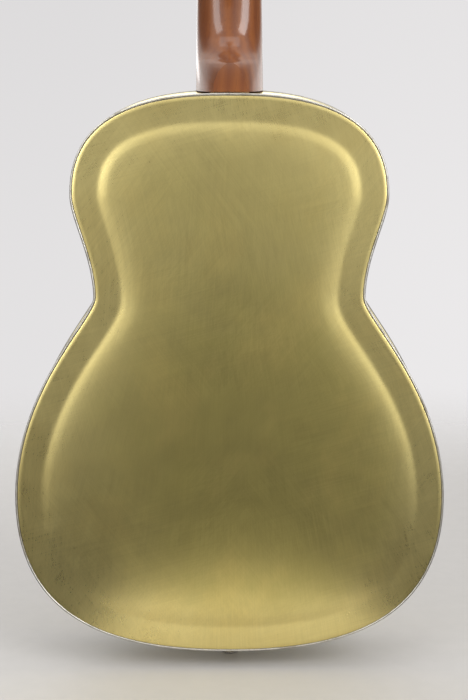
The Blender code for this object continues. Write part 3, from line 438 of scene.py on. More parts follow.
def make_back():
    """The stamped back plate: a flat border, a cove at the line inside it and a long shallow crown."""
    rows = [[(x, HALF_DEPTH - PLATE_EDGE, z) for x, z in inset_half(PLATE_INSET)]]
    for step in BORDER_ROWS + COVE_ROWS:
        distance = PLATE_INSET + step * MM
        drop = PLATE_ROUND if step == BORDER_ROWS[0] else 0.0
        height = HALF_DEPTH + cove_height(distance) - drop
        rows.append([(x, height, z) for x, z in inset_half(distance)])
    last, (low, high) = rows[-1], BACK_SPINE
    for k in range(1, SPINE_ROWS + 1):
        share = k / SPINE_ROWS
        row = []
        for (x, _, z), (_, edge_z) in zip(last, BODY_EDGE):
            spine = low + (high - low) * edge_z / BODY_LENGTH
            place = (x * (1 - share), z + (spine - z) * share)
            height = HALF_DEPTH + cove_height(edge_distance(*place))
            row.append((place[0], height, place[1]))
        rows.append(row)
    outer = [row + [(-x, y, z) for x, y, z in reversed(row[1:-1])] for row in rows]
    inner = [[(x, y - SHEET, z) for x, y, z in row] for row in outer[1:]]
    base = [(x, HALF_DEPTH - SHEET, z) for x, _, z in outer[0]]
    return loft("back_sheet", inner[::-1] + [base] + outer, capped=False, angle=50)


def make_top():
    """The flat top, with the cone's round opening and two S-shaped sound holes."""
    holes = [circle(0, MIDDLE_Z, CONE_RADIUS + 1 * MM, 128), sound_hole(1), sound_hole(-1)]
    loops = [whole_loop(inset_half(PLATE_INSET)), *holes]
    return flat_sheet("top_sheet", loops, HALF_DEPTH - SHEET, HALF_DEPTH, FRONT_PLACE, edge=0.3 * MM)


STEM_HALF_WIDTH, STEM_TAPER = 2.85, 2.0  # millimetres, from the hole's middle to its end


def sound_hole(side):
    """A slender stem that widens into a round eye at each end, turned about its own middle."""
    stem = bezier((0, 0), (-4, 22), (-3, 41), (6, 40), 18)
    hook = bezier((6, 40), (10, 39.5), (12.5, 36.5), (12, 32.4), 8)
    line = [*stem, *hook, (12, 32.4)]
    eye, eye_radius, arc_steps = (11.6, 27.8), 4.8, 22
    left, right = [], []
    for i, ((x, z), (dx, dz)) in enumerate(zip(line, across_path(line))):
        half = STEM_HALF_WIDTH - STEM_TAPER * i / (len(line) - 1)
        left.append((x + dx * half, z + dz * half))
        right.append((x - dx * half, z - dz * half))
    start, end = (math.atan2(z - eye[1], x - eye[0]) for x, z in (left[-1], right[-1]))
    sweep = math.tau - ((start - end) % math.tau)
    turns = [start + sweep * k / arc_steps for k in range(1, arc_steps)]
    arc = [(eye[0] + eye_radius * math.cos(t), eye[1] + eye_radius * math.sin(t)) for t in turns]
    upper = left[1:] + arc + right[:0:-1]
    whole = upper + [(-x, -z) for x, z in upper]
    middle_x, middle_z = SOUND_HOLE
    return [(side * (middle_x + x * MM), middle_z + z * MM) for x, z in whole]


def side_section():
    """The sides' section from front to back, as (inset, y): a round bead, a wall and inner flanges."""
    bead, seat, steps = ROLL / 2, HALF_DEPTH - SHEET - GAP, 10
    middle = HALF_DEPTH - bead
    turns = [math.pi * (1.12 - 1.12 * k / steps) for k in range(steps + 1)]
    arc = [(bead - bead * math.cos(math.pi - t), middle + bead * math.sin(t)) for t in turns]
    foot = [(0.1, 0.9), (-0.25, 0.3)]
    foot = [(SIDE_INSET + inwards * MM, middle - bead - down * MM) for inwards, down in foot]
    rest = [(ROLL, seat), (SIDE_FLANGE, seat), (SIDE_FLANGE, seat - SHEET)]
    half = foot + arc + rest + [(SIDE_INSET + SHEET, seat - SHEET)]
    return half + [(inset, -y) for inset, y in reversed(half)]


def pin_hole():
    """Cuts the end pin's hole at the tail."""
    return prism("hole", circle(0, 0, PIN_HOLE_RADIUS, 32), -9 * MM, 9 * MM, Matrix.Identity(4))


def make_side(name, side):
    """One sheet-metal side, from the tail to the neck, with the slot for the stick and the pin's hole."""
    section = side_section()
    edges = [inset_half(inset) for inset, _ in section]
    rings = []
    for i in range(len(edges[0])):
        ring = []
        for edge, (_, y) in zip(edges, section):
            x, z = edge[i]
            ring.append((side * max(x, GAP / 2), y, z))
        rings.append(ring)
    band = loft(name, rings, angle=40)
    slot = prism("slot", round_box(16.3 * MM, 12.8 * MM, 1 * MM), BODY_LENGTH - 18 * MM, BODY_LENGTH + 9 * MM,
                 at(0, 1.5 * MM, 0))
    return combine(band, [slot, pin_hole()], angle=40)


# ---------------------------------------------------------------- cone, coverplate and tailpiece


COVER_SEAT = HALF_DEPTH + GAP
# (radius, height of the outer face over the seat)
COVER_SHAPE = in_mm((0, 9.5), (40, 9.2), (84, 8), (112, 6.4), (122, 4.6), (130, 1.5), (143, 1.2))
COVER_SHEET = 0.9 * MM
COVER_CUT = (20 * MM, 60 * MM)  # how far forwards its slots and its window are cut
COVER_RING_RISE, COVER_RING_WIDTH = 0.55 * MM, 1.7 * MM
BRIDGE_WINDOW = (42 * MM, 30 * MM)
SLOT_GROUPS, SLOTS_PER_GROUP, GROUP_SPACE = 8, 3, 0.9
SLOT_REACH, SLOT_WIDTH = (62 * MM, 108 * MM), 5 * MM
COVER_RINGS = (57 * MM, 114 * MM)
COVER_SCREWS, COVER_SCREW_RING = 9, 137.5 * MM


def cover_height(radius):
    """The coverplate's outer face, with a pressed ring inside and outside the slots."""
    height = smooth_table(COVER_SHAPE, min(radius, COVER_RADIUS))[0]
    for ring in COVER_RINGS:
        height += COVER_RING_RISE * math.exp(-(((radius - ring) / COVER_RING_WIDTH) ** 2))
    return COVER_SEAT + height


def slot_angles():
    group = math.tau / SLOT_GROUPS
    spread = group / (SLOTS_PER_GROUP + GROUP_SPACE)
    for g in range(SLOT_GROUPS):
        for s in range(SLOTS_PER_GROUP):
            yield group * (g + 0.5) + spread * (s - (SLOTS_PER_GROUP - 1) / 2)


def make_cover():
    """The slotted, domed coverplate."""
    edge = COVER_RADIUS - 0.3 * MM
    radii = {3 * MM * k for k in range(48)} | {edge}
    for ring in COVER_RINGS:
        radii = {r for r in radii if abs(r - ring) > 4 * MM} | {ring + 0.5 * MM * k for k in range(-8, 9)}
    outer = [(r, cover_height(r) - COVER_SEAT) for r in sorted(radii)]
    under = [(r, h - COVER_SHEET) for r, h in reversed(outer)]
    rim = [(COVER_RADIUS, outer[-1][1] - 0.3 * MM), (COVER_RADIUS, under[0][1] + 0.2 * MM)]
    seat = CONE_PLACE @ at(0, 0, COVER_SEAT)
    plate = lathe("cover_sheet", outer + rim + under, seat, steps=144, angle=40)
    reach, half = (SLOT_REACH[1] - SLOT_REACH[0]) / 2, SLOT_WIDTH / 2
    middle = at(SLOT_REACH[0] + reach, 0, 0)
    outline = round_box(reach, half, half, steps=6)
    tools = [prism("slot", outline, *COVER_CUT, CONE_PLACE @ turned(angle, "Z") @ middle)
             for angle in slot_angles()]
    tools.append(prism("window", round_box(*BRIDGE_WINDOW, 7 * MM, steps=8), *COVER_CUT, CONE_PLACE))
    return combine(plate, [gather("cover_cutters", tools)], angle=36)


GUARD_FOOT, GUARD_SHEET, GUARD_HALF_WIDTH = 49 * MM, 1.2 * MM, 19 * MM


def make_cover_screws():
    """Small screws round the coverplate's rim, and two through each foot of the hand guard."""
    heads = []
    for k in range(COVER_SCREWS):
        turn = turned(math.tau * (k + 0.5) / COVER_SCREWS, "Z")
        place = CONE_PLACE @ turn @ at(COVER_SCREW_RING, 0, cover_height(COVER_SCREW_RING))
        heads.append(screw_head(place, 2.6 * MM, 1.3 * MM, 0.7 * k))
    foot = cover_height(GUARD_FOOT) + GAP + GUARD_SHEET
    for k, (x, y) in enumerate(in_mm((53.2, 12), (53.2, -12), (-53.2, 12), (-53.2, -12))):
        place = CONE_PLACE @ at(x, y, foot)
        heads.append(screw_head(place, 2.3 * MM, 1.1 * MM, 0.9 * k))
    return gather("cover_screws", heads)


def make_cone():
    """The spun cone, with the fine steps that spinning leaves and a rolled rim."""
    rim, sheet = HALF_DEPTH - 20 * MM + GAP + 0.6 * MM, 0.6 * MM
    outer = [(1.9 * MM, CONE_TOP), (BISCUIT_RADIUS + 4 * MM, CONE_TOP)]
    start, end = outer[-1], (CONE_RADIUS - 7 * MM, rim + 1.2 * MM)
    steps, depth = 76, 0.12 * MM
    for k in range(1, steps):
        share = k / steps
        radius, height = (a + (b - a) * share for a, b in zip(start, end))
        outer.append((radius, height + depth * math.cos(math.tau * k / 4) - depth))
    outer += [end, (CONE_RADIUS - 4.6 * MM, rim)]
    outer += [(CONE_RADIUS - 0.3 * MM, rim), (CONE_RADIUS, rim - 0.2 * MM)]
    inner = [(radius, height - sheet) for radius, height in reversed(outer[:-1])]
    profile = outer + [(CONE_RADIUS, rim - sheet + 0.1 * MM)] + inner
    return lathe("cone_shell", profile, CONE_PLACE, 128, looped=True)


def string_x(number, spread):
    """Sideways place of a string, 1 at the treble side (+X) to 6 at the bass side."""
    return spread * (0.5 - (number - 1) / (len(STRING_DIAMETERS) - 1))


def saddle_bearing(number):
    """Where a string's middle passes over the saddle."""
    radius = STRING_DIAMETERS[number - 1] / 2
    x = string_x(number, SADDLE_SPREAD)
    return NECK_PLACE @ Vector((x, -FRET_HEIGHT - SADDLE_ACTION - radius, MIDDLE_Z - BODY_LENGTH))


SADDLE_SEAT = BISCUIT_FACE - 1.5 * MM


def make_biscuit():
    """The round block with an eased edge, slotted for the saddle and bored for its screw."""
    low, face, edge = CONE_TOP + GAP, BISCUIT_FACE, 1.2 * MM
    arc = [(BISCUIT_RADIUS - edge + edge * math.sin(t), face - edge + edge * math.cos(t))
           for t in [QUARTER * k / 5 for k in range(6)]]
    foot = [(BISCUIT_RADIUS, low + 0.4 * MM), (BISCUIT_RADIUS - 0.4 * MM, low)]
    profile = [(0, face), *arc, *foot, (0, low)]
    disc = lathe("biscuit_block", profile, CONE_PLACE, 72)
    slot = prism("seat", round_box(40 * MM, 2.8 * MM, 0.2 * MM), SADDLE_SEAT, face + 5 * MM, CONE_PLACE)
    bore = prism("bore", circle(0, 0, 2 * MM, 16), 0, low + 4 * MM, CONE_PLACE)
    return combine(disc, [slot, bore])


def saddle_dip(x):
    """How deep the saddle's crest is notched at a place along it."""
    dips = [0.0]
    for number, diameter in enumerate(STRING_DIAMETERS, 1):
        away = abs(x - string_x(number, SADDLE_SPREAD)) / (diameter / 2 + 0.25 * MM)
        if away < 1:
            dips.append((0.15 * MM + diameter / 2) * math.sqrt(1 - away * away))
    return max(dips)


def make_saddle():
    """The tapered saddle with a notch for each string."""
    crest = -saddle_bearing(6).y - STRING_DIAMETERS[5] / 2 + GAP
    bottom, shoulder, half, crown = SADDLE_SEAT + GAP, crest - 5 * MM, 2.5 * MM, 0.9 * MM
    side = [(half, bottom), (half, shoulder), (crown, crest - 0.25 * MM), (crown - 0.3 * MM, crest)]
    outline = mirrored(side)
    length, steps = 28.5 * MM, 114
    rings = []
    for k in range(steps + 1):
        x = -length + 2 * length * k / steps
        dip = saddle_dip(x)
        ease = 1.0 * MM * max(0.0, (abs(x) - length + 1 * MM) / MM) ** 2
        ring = []
        for y, z in outline:
            notched = z - (dip if z > shoulder + MM else 0)
            ring.append((x, y, notched - (ease if z > shoulder else 0)))
        rings.append(ring)
    return loft("saddle_blade", rings, CONE_PLACE, angle=30)


def bend_strip(path, half_widths, thickness):
    """Rings for a strip of sheet bent along a flat path, as (across the strip, along, away)."""
    rings = []
    for (a, b), (da, db), half in zip(path, across_path(path), half_widths):
        outline = round_box(half, thickness / 2, thickness * 0.4)
        rings.append([(wide, a + da * off, b + db * off) for wide, off in outline])
    return rings


def make_hand_guard():
    """The arched guard over the saddle, bent from strip, with round corners at its feet."""
    foot = cover_height(GUARD_FOOT) + GAP + GUARD_SHEET / 2
    crown = -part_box("hand_rest")[0].y - GUARD_SHEET / 2
    side = [(57, foot), (49, foot), (46, foot + 3 * MM)]
    side += [(41, crown - 3 * MM), (36, crown - 0.6 * MM), (18, crown)]
    path = [(x * MM, height) for x, height in side]
    path = fillet(mirrored(path), 4 * MM, steps=6)
    end, round_end = 54 * MM, 3 * MM
    half_widths = [GUARD_HALF_WIDTH - round_end * max(0.0, (abs(x) - end) / round_end) ** 2 for x, _ in path]
    rings = [[(x, -height, MIDDLE_Z + wide) for wide, x, height in ring]
             for ring in bend_strip(path, half_widths, GUARD_SHEET)]
    return loft("hand_guard", rings, angle=40)


# The middle of the strap, as (forwards, height, half width).
TAIL_STRAP = in_mm((-9, -1.2, 10), (38, -1.5, 11), (41.8, 0, 12), (43.8, 4.5, 12.5), (44.6, 12, 13),
                   (47.6, 48, 19), (48.2, 84, 32), (49.2, 90, 33), (55.5, 92, 33))


def make_tail_strap():
    """The stamped tailpiece, from under the end pin round the edge to the lip that holds the strings."""
    table = []
    along = 0.0
    for k, (forward, z, half) in enumerate(TAIL_STRAP):
        if k:
            along += math.hypot(forward - TAIL_STRAP[k - 1][0], z - TAIL_STRAP[k - 1][1])
        table.append((along, forward, z, half))
    steps, end_steps = 150, 5
    stations = [smooth_table(table, along * k / steps) for k in range(steps + 1)]
    half_widths = []
    for k, (_, _, half) in enumerate(stations):
        past = 1 - min(1.0, min(k, steps - k) / end_steps)
        half_widths.append(half - 2.5 * MM * past**2 - 0.2 * MM)
    path = [(forward, z) for forward, z, _ in stations]
    bent = bend_strip(path, half_widths, 1.5 * MM)
    rings = [[(wide, -forward, z) for wide, forward, z in ring] for ring in bent]
    strap = loft("tail_strap", rings, angle=40)
    half_window = in_mm((0, 26), (7, 34), (19, 74), (0, 74))
    window = fillet(half_window[:-1] + [(-x, z) for x, z in reversed(half_window[1:-1])], 5 * MM, closed=True)
    tools = [prism("window", window, 30 * MM, 70 * MM, FRONT_PLACE), pin_hole()]
    for number, diameter in enumerate(STRING_DIAMETERS, 1):
        place = at(string_x(number, SADDLE_SPREAD), -ANCHOR[0], ANCHOR[1])
        tools.append(prism("ball_hole", circle(0, 0, diameter / 2 + 0.6 * MM, 20), -5 * MM, 5 * MM, place))
    return combine(strap, tools, angle=40)


def make_end_button():
    """The strap button, turned, with a waist for the strap."""
    pin = [(0, 24), (3.4, 24), (3.8, 23.4), (3.8, -2.4)]
    knob = [(6.2, -2.4), (6.2, -3.4), (5.2, -4.6), (4.3, -6.3), (4.2, -7.6), (4.5, -9), (5.6, -10.6)]
    knob += [(6.9, -11.8), (7.4, -12.8), (7.35, -13.8), (7.0, -14.6), (6.4, -15)]
    profile = in_mm(*pin, *knob, (2.2, -15), (1.9, -14.4), (0, -14.4))
    return lathe("end_button", profile, Matrix.Identity(4), 64, angle=28)


def make_stick_block(node):
    """A turned block between the neck stick and the back, ending just under the back's sheet."""
    low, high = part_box(node)
    radius, z = (high.x - low.x) / 2, (low.z + high.z) / 2
    rim = circle(0, z, radius, 24)
    under = min(HALF_DEPTH + cove_height(edge_distance(*place)) for place in rim) - SHEET - 2 * GAP
    bevel = 0.6 * MM
    profile = [(0, low.y), (radius - bevel, low.y), (radius, low.y + bevel)]
    profile += [(radius, under - bevel), (radius - bevel, under), (0, under)]
    place = at(0, 0, z) @ turned(-QUARTER, "X")
    return lathe(node.replace("stick_block", "back_block"), profile, place, 64)




# ---------------------------------------------------------------- neck and headstock


def board_half_width(z):
    """Half the board's width at a height in the neck's frame."""
    return (JOINT_WIDTH + (NUT_WIDTH - JOINT_WIDTH) * z / JOINT_TO_NUT) / 2


def fret_height(fret):
    """A fret's place up the neck, in the neck's frame."""
    return JOINT_TO_NUT - SCALE * (1 - 2 ** (-fret / 12))


# Heel and neck: (height, depth of the ridge, half width of its flat cap, steepness of the edge in degrees).
NECK_SHAPE = [
    (z * MM, depth * MM, cap * MM, steep)
    for z, depth, cap, steep in (
        (0.3, 67, 13.4, 38),
        (8, 67, 12.4, 38),
        (14, 67, 10.3, 38),
        (19, 67, 7.4, 38),
        (22.5, 67, 4.2, 38),
        (24, 67, 2, 37),
        (24.8, 67, 0, 36),
        (26, 62.5, 0, 30),
        (28, 57, 0, 22),
        (32, 47, 0, 10),
        (38, 38.5, 0, 3),
        (46, 31.5, 0, 0),
        (58, 27, 0, 0),
        (75, 25.2, 0, 0),
        (150, 24, 0, 0),
        (JOINT_TO_NUT / MM - 18, 21.5, 0, 0),
        (JOINT_TO_NUT / MM - 2, 21.5, 0, 0),
    )
]
HEAD_SECTIONS_END = 138 * MM  # above this the headstock keeps its last width
# Headstock: (height in its own frame, half width, depth, how square its section is).
HEAD_SHAPE = [
    (z * MM, half * MM, HEAD_THICK + extra * MM, square)
    for z, half, extra, square in (
        (0.6, 23.4, 2.2, 0.05),
        (8, 25.4, 0.9, 0.35),
        (16, 29.5, 0, 0.8),
        (26, 34.6, 0, 1),
        (36, 36.2, 0, 1),
        (HEAD_SECTIONS_END / MM, 38.5, 0, 1),
    )
]
HEEL_FADE = 45 * MM
# Heights of the sections in millimetres, closest together at the heel and at the volute.
NECK_STATIONS = [0.3 + 0.9 * k for k in range(42)] + [38 + 1.6 * k for k in range(20)]
NECK_STATIONS += [70 + 9 * k for k in range(int((JOINT_TO_NUT / MM - 74) / 9))] + [JOINT_TO_NUT / MM - 1]
HEAD_STATIONS = [0.6 + 1.3 * k for k in range(29)] + [42 + 8 * k for k in range(10)]
# The truss rod's channel and the pocket round its nut: (half width, half depth, corner), depth of the middle.
CHANNEL, CHANNEL_DEPTH = (2.5 * MM, 6.2 * MM, 1 * MM), 6.1 * MM
POCKET, POCKET_DEPTH = (5 * MM, 9.6 * MM, 3 * MM), 4.6 * MM
NECK_SIDE_POINTS = 28
HEAD_TOP, HEAD_ARCH, HEAD_CORNER = 149 * MM, 0.004, 11 * MM
HEAD_TOP_STEPS, HEAD_TOP_EASE = 14, 0.5 * MM


def round_section(z, half, front, back, cap=0.0, steep=0.0):
    """Half a section of the neck, from the middle of its back to the board's edge and over the front."""
    start = math.radians(steep)
    side = []
    for j in range(NECK_SIDE_POINTS):
        turn = start + (QUARTER - start) * j / (NECK_SIDE_POINTS - 1)
        out = (math.sin(turn) - math.sin(start)) / (1 - math.sin(start))
        deep = max(math.cos(turn), 0.0) / math.cos(start)
        side.append((cap + (half - cap) * out, front + (back - front) * deep, z))
    return side


def square_section(z, half, front, back):
    """Half a section of the headstock: a flat back, a round edge and a straight side."""
    edge, flat, arc = 2.5 * MM, NECK_SIDE_POINTS - 10, 6
    side = [((half - edge) * k / flat, back, z) for k in range(flat)]
    for k in range(arc):
        turn = QUARTER * k / (arc - 1)
        side.append((half - edge + edge * math.sin(turn), back - edge + edge * math.cos(turn), z))
    straight = NECK_SIDE_POINTS - len(side)
    side += [(half, back - edge + (front - back + edge) * (k + 1) / straight, z) for k in range(straight)]
    return side


def whole_section(side, front):
    """A closed ring from half a section, with a row of points across the front."""
    half, z = side[-1][0], side[-1][2]
    face = [(half * (1 - (k + 1) / NECK_SIDE_POINTS), front, z) for k in range(NECK_SIDE_POINTS)]
    whole = side + face
    return whole + [(-x, y, height) for x, y, height in reversed(whole[1:-1])]


def head_top(x, half):
    """The headstock's top edge: a low arch with round corners."""
    past = max(0.0, abs(x) - (half - HEAD_CORNER))
    fall = HEAD_CORNER - math.sqrt(max(0.0, HEAD_CORNER**2 - past**2))
    return HEAD_TOP - HEAD_ARCH * x * x - fall


def body_edge_drop(x):
    """How far the body's neck end has fallen at a distance from the middle."""
    upper = [point for point in BODY_EDGE if point[1] > BODY_LENGTH * 0.9]
    for (ax, az), (bx, bz) in zip(upper, upper[1:]):
        if bx <= abs(x) <= ax:
            return BODY_LENGTH - az - (bz - az) * (ax - abs(x)) / (ax - bx)
    return 0.0


def neck_rings():
    """Sections of the heel and the neck in the neck's frame. The heel's foot follows the body's edge."""
    front = BOARD_THICK + GAP
    rings = []
    for station in NECK_STATIONS:
        z = station * MM
        depth, cap, steep = smooth_table(NECK_SHAPE, z)
        ring = whole_section(round_section(z, board_half_width(z), front, depth, max(cap, 0.0), steep), front)
        near = max(0.0, 1 - z / HEEL_FADE)
        lean = math.tan(NECK_ANGLE) * near
        rings.append([(x, y, height + y * lean - body_edge_drop(x) * near) for x, y, height in ring])
    return rings


def head_rings():
    """Sections of the headstock in its own frame, from a round one to square ones, and its arched top."""
    rings = []
    for height in HEAD_STATIONS:
        z = height * MM
        half, depth, square = smooth_table(HEAD_SHAPE, z)
        pairs = zip(round_section(z, half, 0, depth), square_section(z, half, 0, depth))
        side = [tuple(a + (b - a) * square for a, b in zip(soft, hard)) for soft, hard in pairs]
        rings.append(whole_section(side, 0))
    base = HEAD_STATIONS[-1] * MM
    for k in range(1, HEAD_TOP_STEPS + 1):
        share = math.sin(QUARTER * k / HEAD_TOP_STEPS)
        half, depth, _ = smooth_table(HEAD_SHAPE, base + (HEAD_SECTIONS_END - base) * share)
        ease = HEAD_TOP_EASE if k == HEAD_TOP_STEPS else 0.0
        ring = []
        for x, y, z in whole_section(square_section(base, half, 0, depth), 0):
            eased = y + (ease if y < depth / 2 else -ease)
            ring.append((x, eased, z + (head_top(x, half) - z) * share))
        rings.append(ring)
    return rings


def make_neck_body():
    """Heel, neck and headstock in one piece, with its rod channel and the posts' holes."""
    to_head = HEAD_START @ turned(-HEAD_ANGLE, "X")
    rings = neck_rings() + [[to_head @ Vector(point) for point in ring] for ring in head_rings()]
    count = len(rings[0])
    points = [point for ring in rings for point in ring]
    faces = [tuple(range(count))] + ring_faces(len(rings), count)
    top, half_count = len(points) - count, count // 2
    for j in range(half_count // 2):  # the end grain, in strips from the back edge to the front edge
        strip = (j, j + 1, half_count - j - 1, half_count - j)
        faces.append(tuple(top + k for k in strip))
        faces.append(tuple(top + (count - k) % count for k in strip))
    neck = add_mesh("neck_and_head", points, faces, NECK_PLACE, angle=34)
    upright = HEAD_PLACE @ turned(QUARTER, "X")
    holes = [circle(x, z, POST_HOLE_RADIUS, 32) for x, z in post_places()]
    tools = [prism("hole", hole, -HEAD_THICK * 2, HEAD_THICK, upright) for hole in holes]
    rod_end = JOINT_TO_NUT + NUT_THICK + 2 * MM
    cuts = ((CHANNEL, 3.5 * MM, rod_end + 2.5 * MM, CHANNEL_DEPTH),
            (POCKET, rod_end - 0.4 * MM, rod_end + 20 * MM, POCKET_DEPTH))
    for shape, low, high, depth in cuts:
        tools.append(prism("channel", round_box(*shape), low, high, NECK_PLACE @ at(0, depth, 0)))
    for tool in tools:
        neck = combine(neck, [tool], angle=34)
    return neck


def make_board():
    """The tapered fingerboard with eased edges."""
    low, high, edge = -BOARD_OVERHANG, JOINT_TO_NUT, 0.5 * MM
    rings = []
    for station in [low, low + 0.6 * MM] + [low + 12 * MM * k for k in range(1, 36)] + [high]:
        half = board_half_width(station) - (edge if station == low else 0)
        rings.append([(x, y + BOARD_THICK / 2, station) for x, y in round_box(half, BOARD_THICK / 2, edge)])
    return loft("board", rings, NECK_PLACE, angle=40)


FRET_BEVEL, FRET_END, FRET_LET_IN = 0.7 * MM, 0.35, 0.02 * MM  # length, height left at the end, gap closed


def make_frets():
    """Crowned frets with bevelled ends, let in by a hair."""
    turns = [math.pi * k / 10 for k in range(11)]
    section = [(FRET_WIDTH / 2 * math.cos(t), -FRET_HEIGHT * math.sin(t) ** 0.7) for t in turns]
    frets = []
    for fret in range(1, FRETS + 1):
        z, half = fret_height(fret), board_half_width(fret_height(fret))
        ends = []
        inner = half - FRET_BEVEL
        for x, share in ((-half, FRET_END), (-inner, 1), (inner, 1), (half, FRET_END)):
            ends.append([(x, y * share - FRET_LET_IN, z + off) for off, y in section])
        frets.append(loft(f"fret_{fret:02d}", ends, NECK_PLACE, angle=50))
    return gather("frets", frets)


DOT_FRETS, DOUBLE_DOT_FRET, DOUBLE_DOT_X = (3, 5, 7, 9, 12, 15, 17), 12, 9.5 * MM


def make_dots():
    """Position dots halfway between frets, two at the octave."""
    shape = in_mm((0, 0.09), (2.9, 0.09), (3.1, 0.04), (3.1, -0.5), (0, -0.5))
    dots = []
    for fret in DOT_FRETS:
        z = (fret_height(fret) + fret_height(fret - 1)) / 2
        for x in (-DOUBLE_DOT_X, DOUBLE_DOT_X) if fret == DOUBLE_DOT_FRET else (0,):
            place = NECK_PLACE @ at(x, 0, z) @ turned(QUARTER, "X")
            dots.append(lathe("dot", shape, place, 32))
    return gather("position_dots", dots)


def make_bone_nut():
    """The nut, sloping to the headstock, with a slot for each string."""
    low, high = JOINT_TO_NUT + GAP, JOINT_TO_NUT + NUT_THICK
    face = -FRET_HEIGHT - NUT_ACTION - 0.4 * MM
    outline = [(BOARD_THICK, low), (face + 0.4 * MM, low), (face, low + 0.4 * MM)]
    outline += [(face + 0.1 * MM, low + 1.6 * MM), (face + 0.9 * MM, high - 0.9 * MM)]
    outline += [(face + 1.7 * MM, high), (BOARD_THICK, high)]
    half = NUT_WIDTH / 2
    rings = []
    for x, ease in ((-half, 0.5), (-half + 0.5 * MM, 0), (half - 0.5 * MM, 0), (half, 0.5)):
        rings.append([(x, y + (ease * MM if y < 1 * MM else 0), z) for y, z in outline])
    nut = loft("bone_nut", rings, NECK_PLACE, angle=30)
    tools = []
    for number, diameter in enumerate(STRING_DIAMETERS, 1):
        radius = diameter / 2 + 0.12 * MM
        bearing = -FRET_HEIGHT - NUT_ACTION - diameter / 2
        shape = circle(0, 0, radius, 12)
        drop = 0.06
        place = NECK_PLACE @ at(string_x(number, NUT_SPREAD), bearing, 0)
        rings = [[(x, y + (z - low) * drop, z) for x, y in shape] for z in (low - 2 * MM, high + 2 * MM)]
        tools.append(loft("slot", rings, place))
    return combine(nut, tools)


def screw_head(place, radius, height, turn=0.0):
    """A domed screw head with a slot, standing at the frame's origin along +Z."""
    steps, sunk = 7, -0.2 * MM
    turns = [QUARTER * k / steps for k in range(steps + 1)]
    dome = [(radius * math.sin(t), height * (0.35 + 0.65 * math.cos(t))) for t in turns]
    profile = [(0, height), *dome[1:], (radius, 0), (radius, sunk), (0, sunk)]
    head = lathe("screw", profile, place, 24)
    outline = round_box(radius * 1.3, radius * 0.13, radius * 0.02, steps=1)
    slot = prism("slot", outline, height * 0.55, height * 2, place @ turned(turn, "Z"))
    return combine(head, [slot])


ROD_COVER_FACE, ROD_COVER_THICK = HEAD_PLACE @ turned(QUARTER, "X"), 2.0 * MM


def make_rod_cover():
    """The bell-shaped plate over the truss rod's nut."""
    half = in_mm((5.5, 4), (7.5, 9), (8.5, 16), (8.5, 26), (6, 33), (0, 37))
    outline = fillet(half + [(-x, z) for x, z in reversed(half[:-1])], 3 * MM, closed=True)
    return flat_sheet("rod_cover", [outline], GAP, ROD_COVER_THICK, ROD_COVER_FACE, edge=0.3 * MM)


def make_rod_cover_screws():
    heads = []
    for z, turn in ((9, 0.5), (31.5, 1.9)):
        place = ROD_COVER_FACE @ at(0, z * MM, ROD_COVER_THICK)
        heads.append(screw_head(place, 1.7 * MM, 0.7 * MM, turn))
    return gather("rod_cover_screws", heads)


# ---------------------------------------------------------------- strings


def post_places():
    """(x, z) in the headstock's frame of the post for each string, 1 to 6."""
    return [(POST_X, z) for z in POST_Z] + [(-POST_X, z) for z in reversed(POST_Z)]


WINDING_TURNS, TURN_STEPS = 3, 36
# A string over the nut: (drop in millimetres, share of its thickness).
NUT_SLOPE = ((0.0, 0.2), (0.15, 0.45), (0.45, 0.8))
BALL_DEPTH = 2.4 * MM
POST_HOLE_PATH = (2.4, 1, -1, -4.6)  # millimetres from the post's axis, through its hole and out


def winding_radius(diameter):
    return POST_RADIUS + WRAP_CLEAR + diameter / 2


def make_string(number):
    """A string from its ball in the tailpiece over the saddle and the nut to its post."""
    diameter = STRING_DIAMETERS[number - 1]
    radius = diameter / 2
    post_x, post_z = post_places()[number - 1]
    side = math.copysign(1, post_x)
    nut_x = string_x(number, NUT_SPREAD)
    bearing = -FRET_HEIGHT - NUT_ACTION - radius
    clear = math.sqrt((POST_RADIUS + WRAP_CLEAR + diameter) ** 2 - (POST_RADIUS + radius) ** 2) + 0.8 * MM
    touch = HEAD_START @ turned(-HEAD_ANGLE, "X") @ Vector(
        (post_x - side * (POST_RADIUS + radius), winding_span(diameter) - WRAP_HEIGHT, post_z - clear))
    in_neck = [(nut_x, bearing + drop * MM, JOINT_TO_NUT + NUT_THICK * share) for drop, share in NUT_SLOPE]
    anchor = Vector((string_x(number, SADDLE_SPREAD), -ANCHOR[0], ANCHOR[1] - BALL_DEPTH))
    points = [anchor, saddle_bearing(number)] + [NECK_PLACE @ Vector(point) for point in (*in_neck, touch)]
    return tube(f"string_line_{number}", fillet(points, 2 * MM, steps=6), radius)


def post_frame(number):
    """A post's frame: +Z forwards out of the headstock, -Y towards its worm."""
    x, z = post_places()[number - 1]
    return HEAD_PLACE @ at(x, 0, z) @ turned(QUARTER, "X")


def worm_frame(number):
    """A worm's frame: +Z outwards to its button, +X towards its gear."""
    x, z = post_places()[number - 1]
    way = math.pi if x > 0 else 0
    turn = turned(way, "Z") @ turned(-QUARTER, "Y")
    return HEAD_PLACE @ at(x, TUNER_PLANE, z - WORM_DISTANCE) @ turn


def winding_span(diameter):
    """Half the height between the first and the last turn of a string on its post."""
    return (max(WINDING_TURNS * diameter, 2 * MM) - diameter) / 2


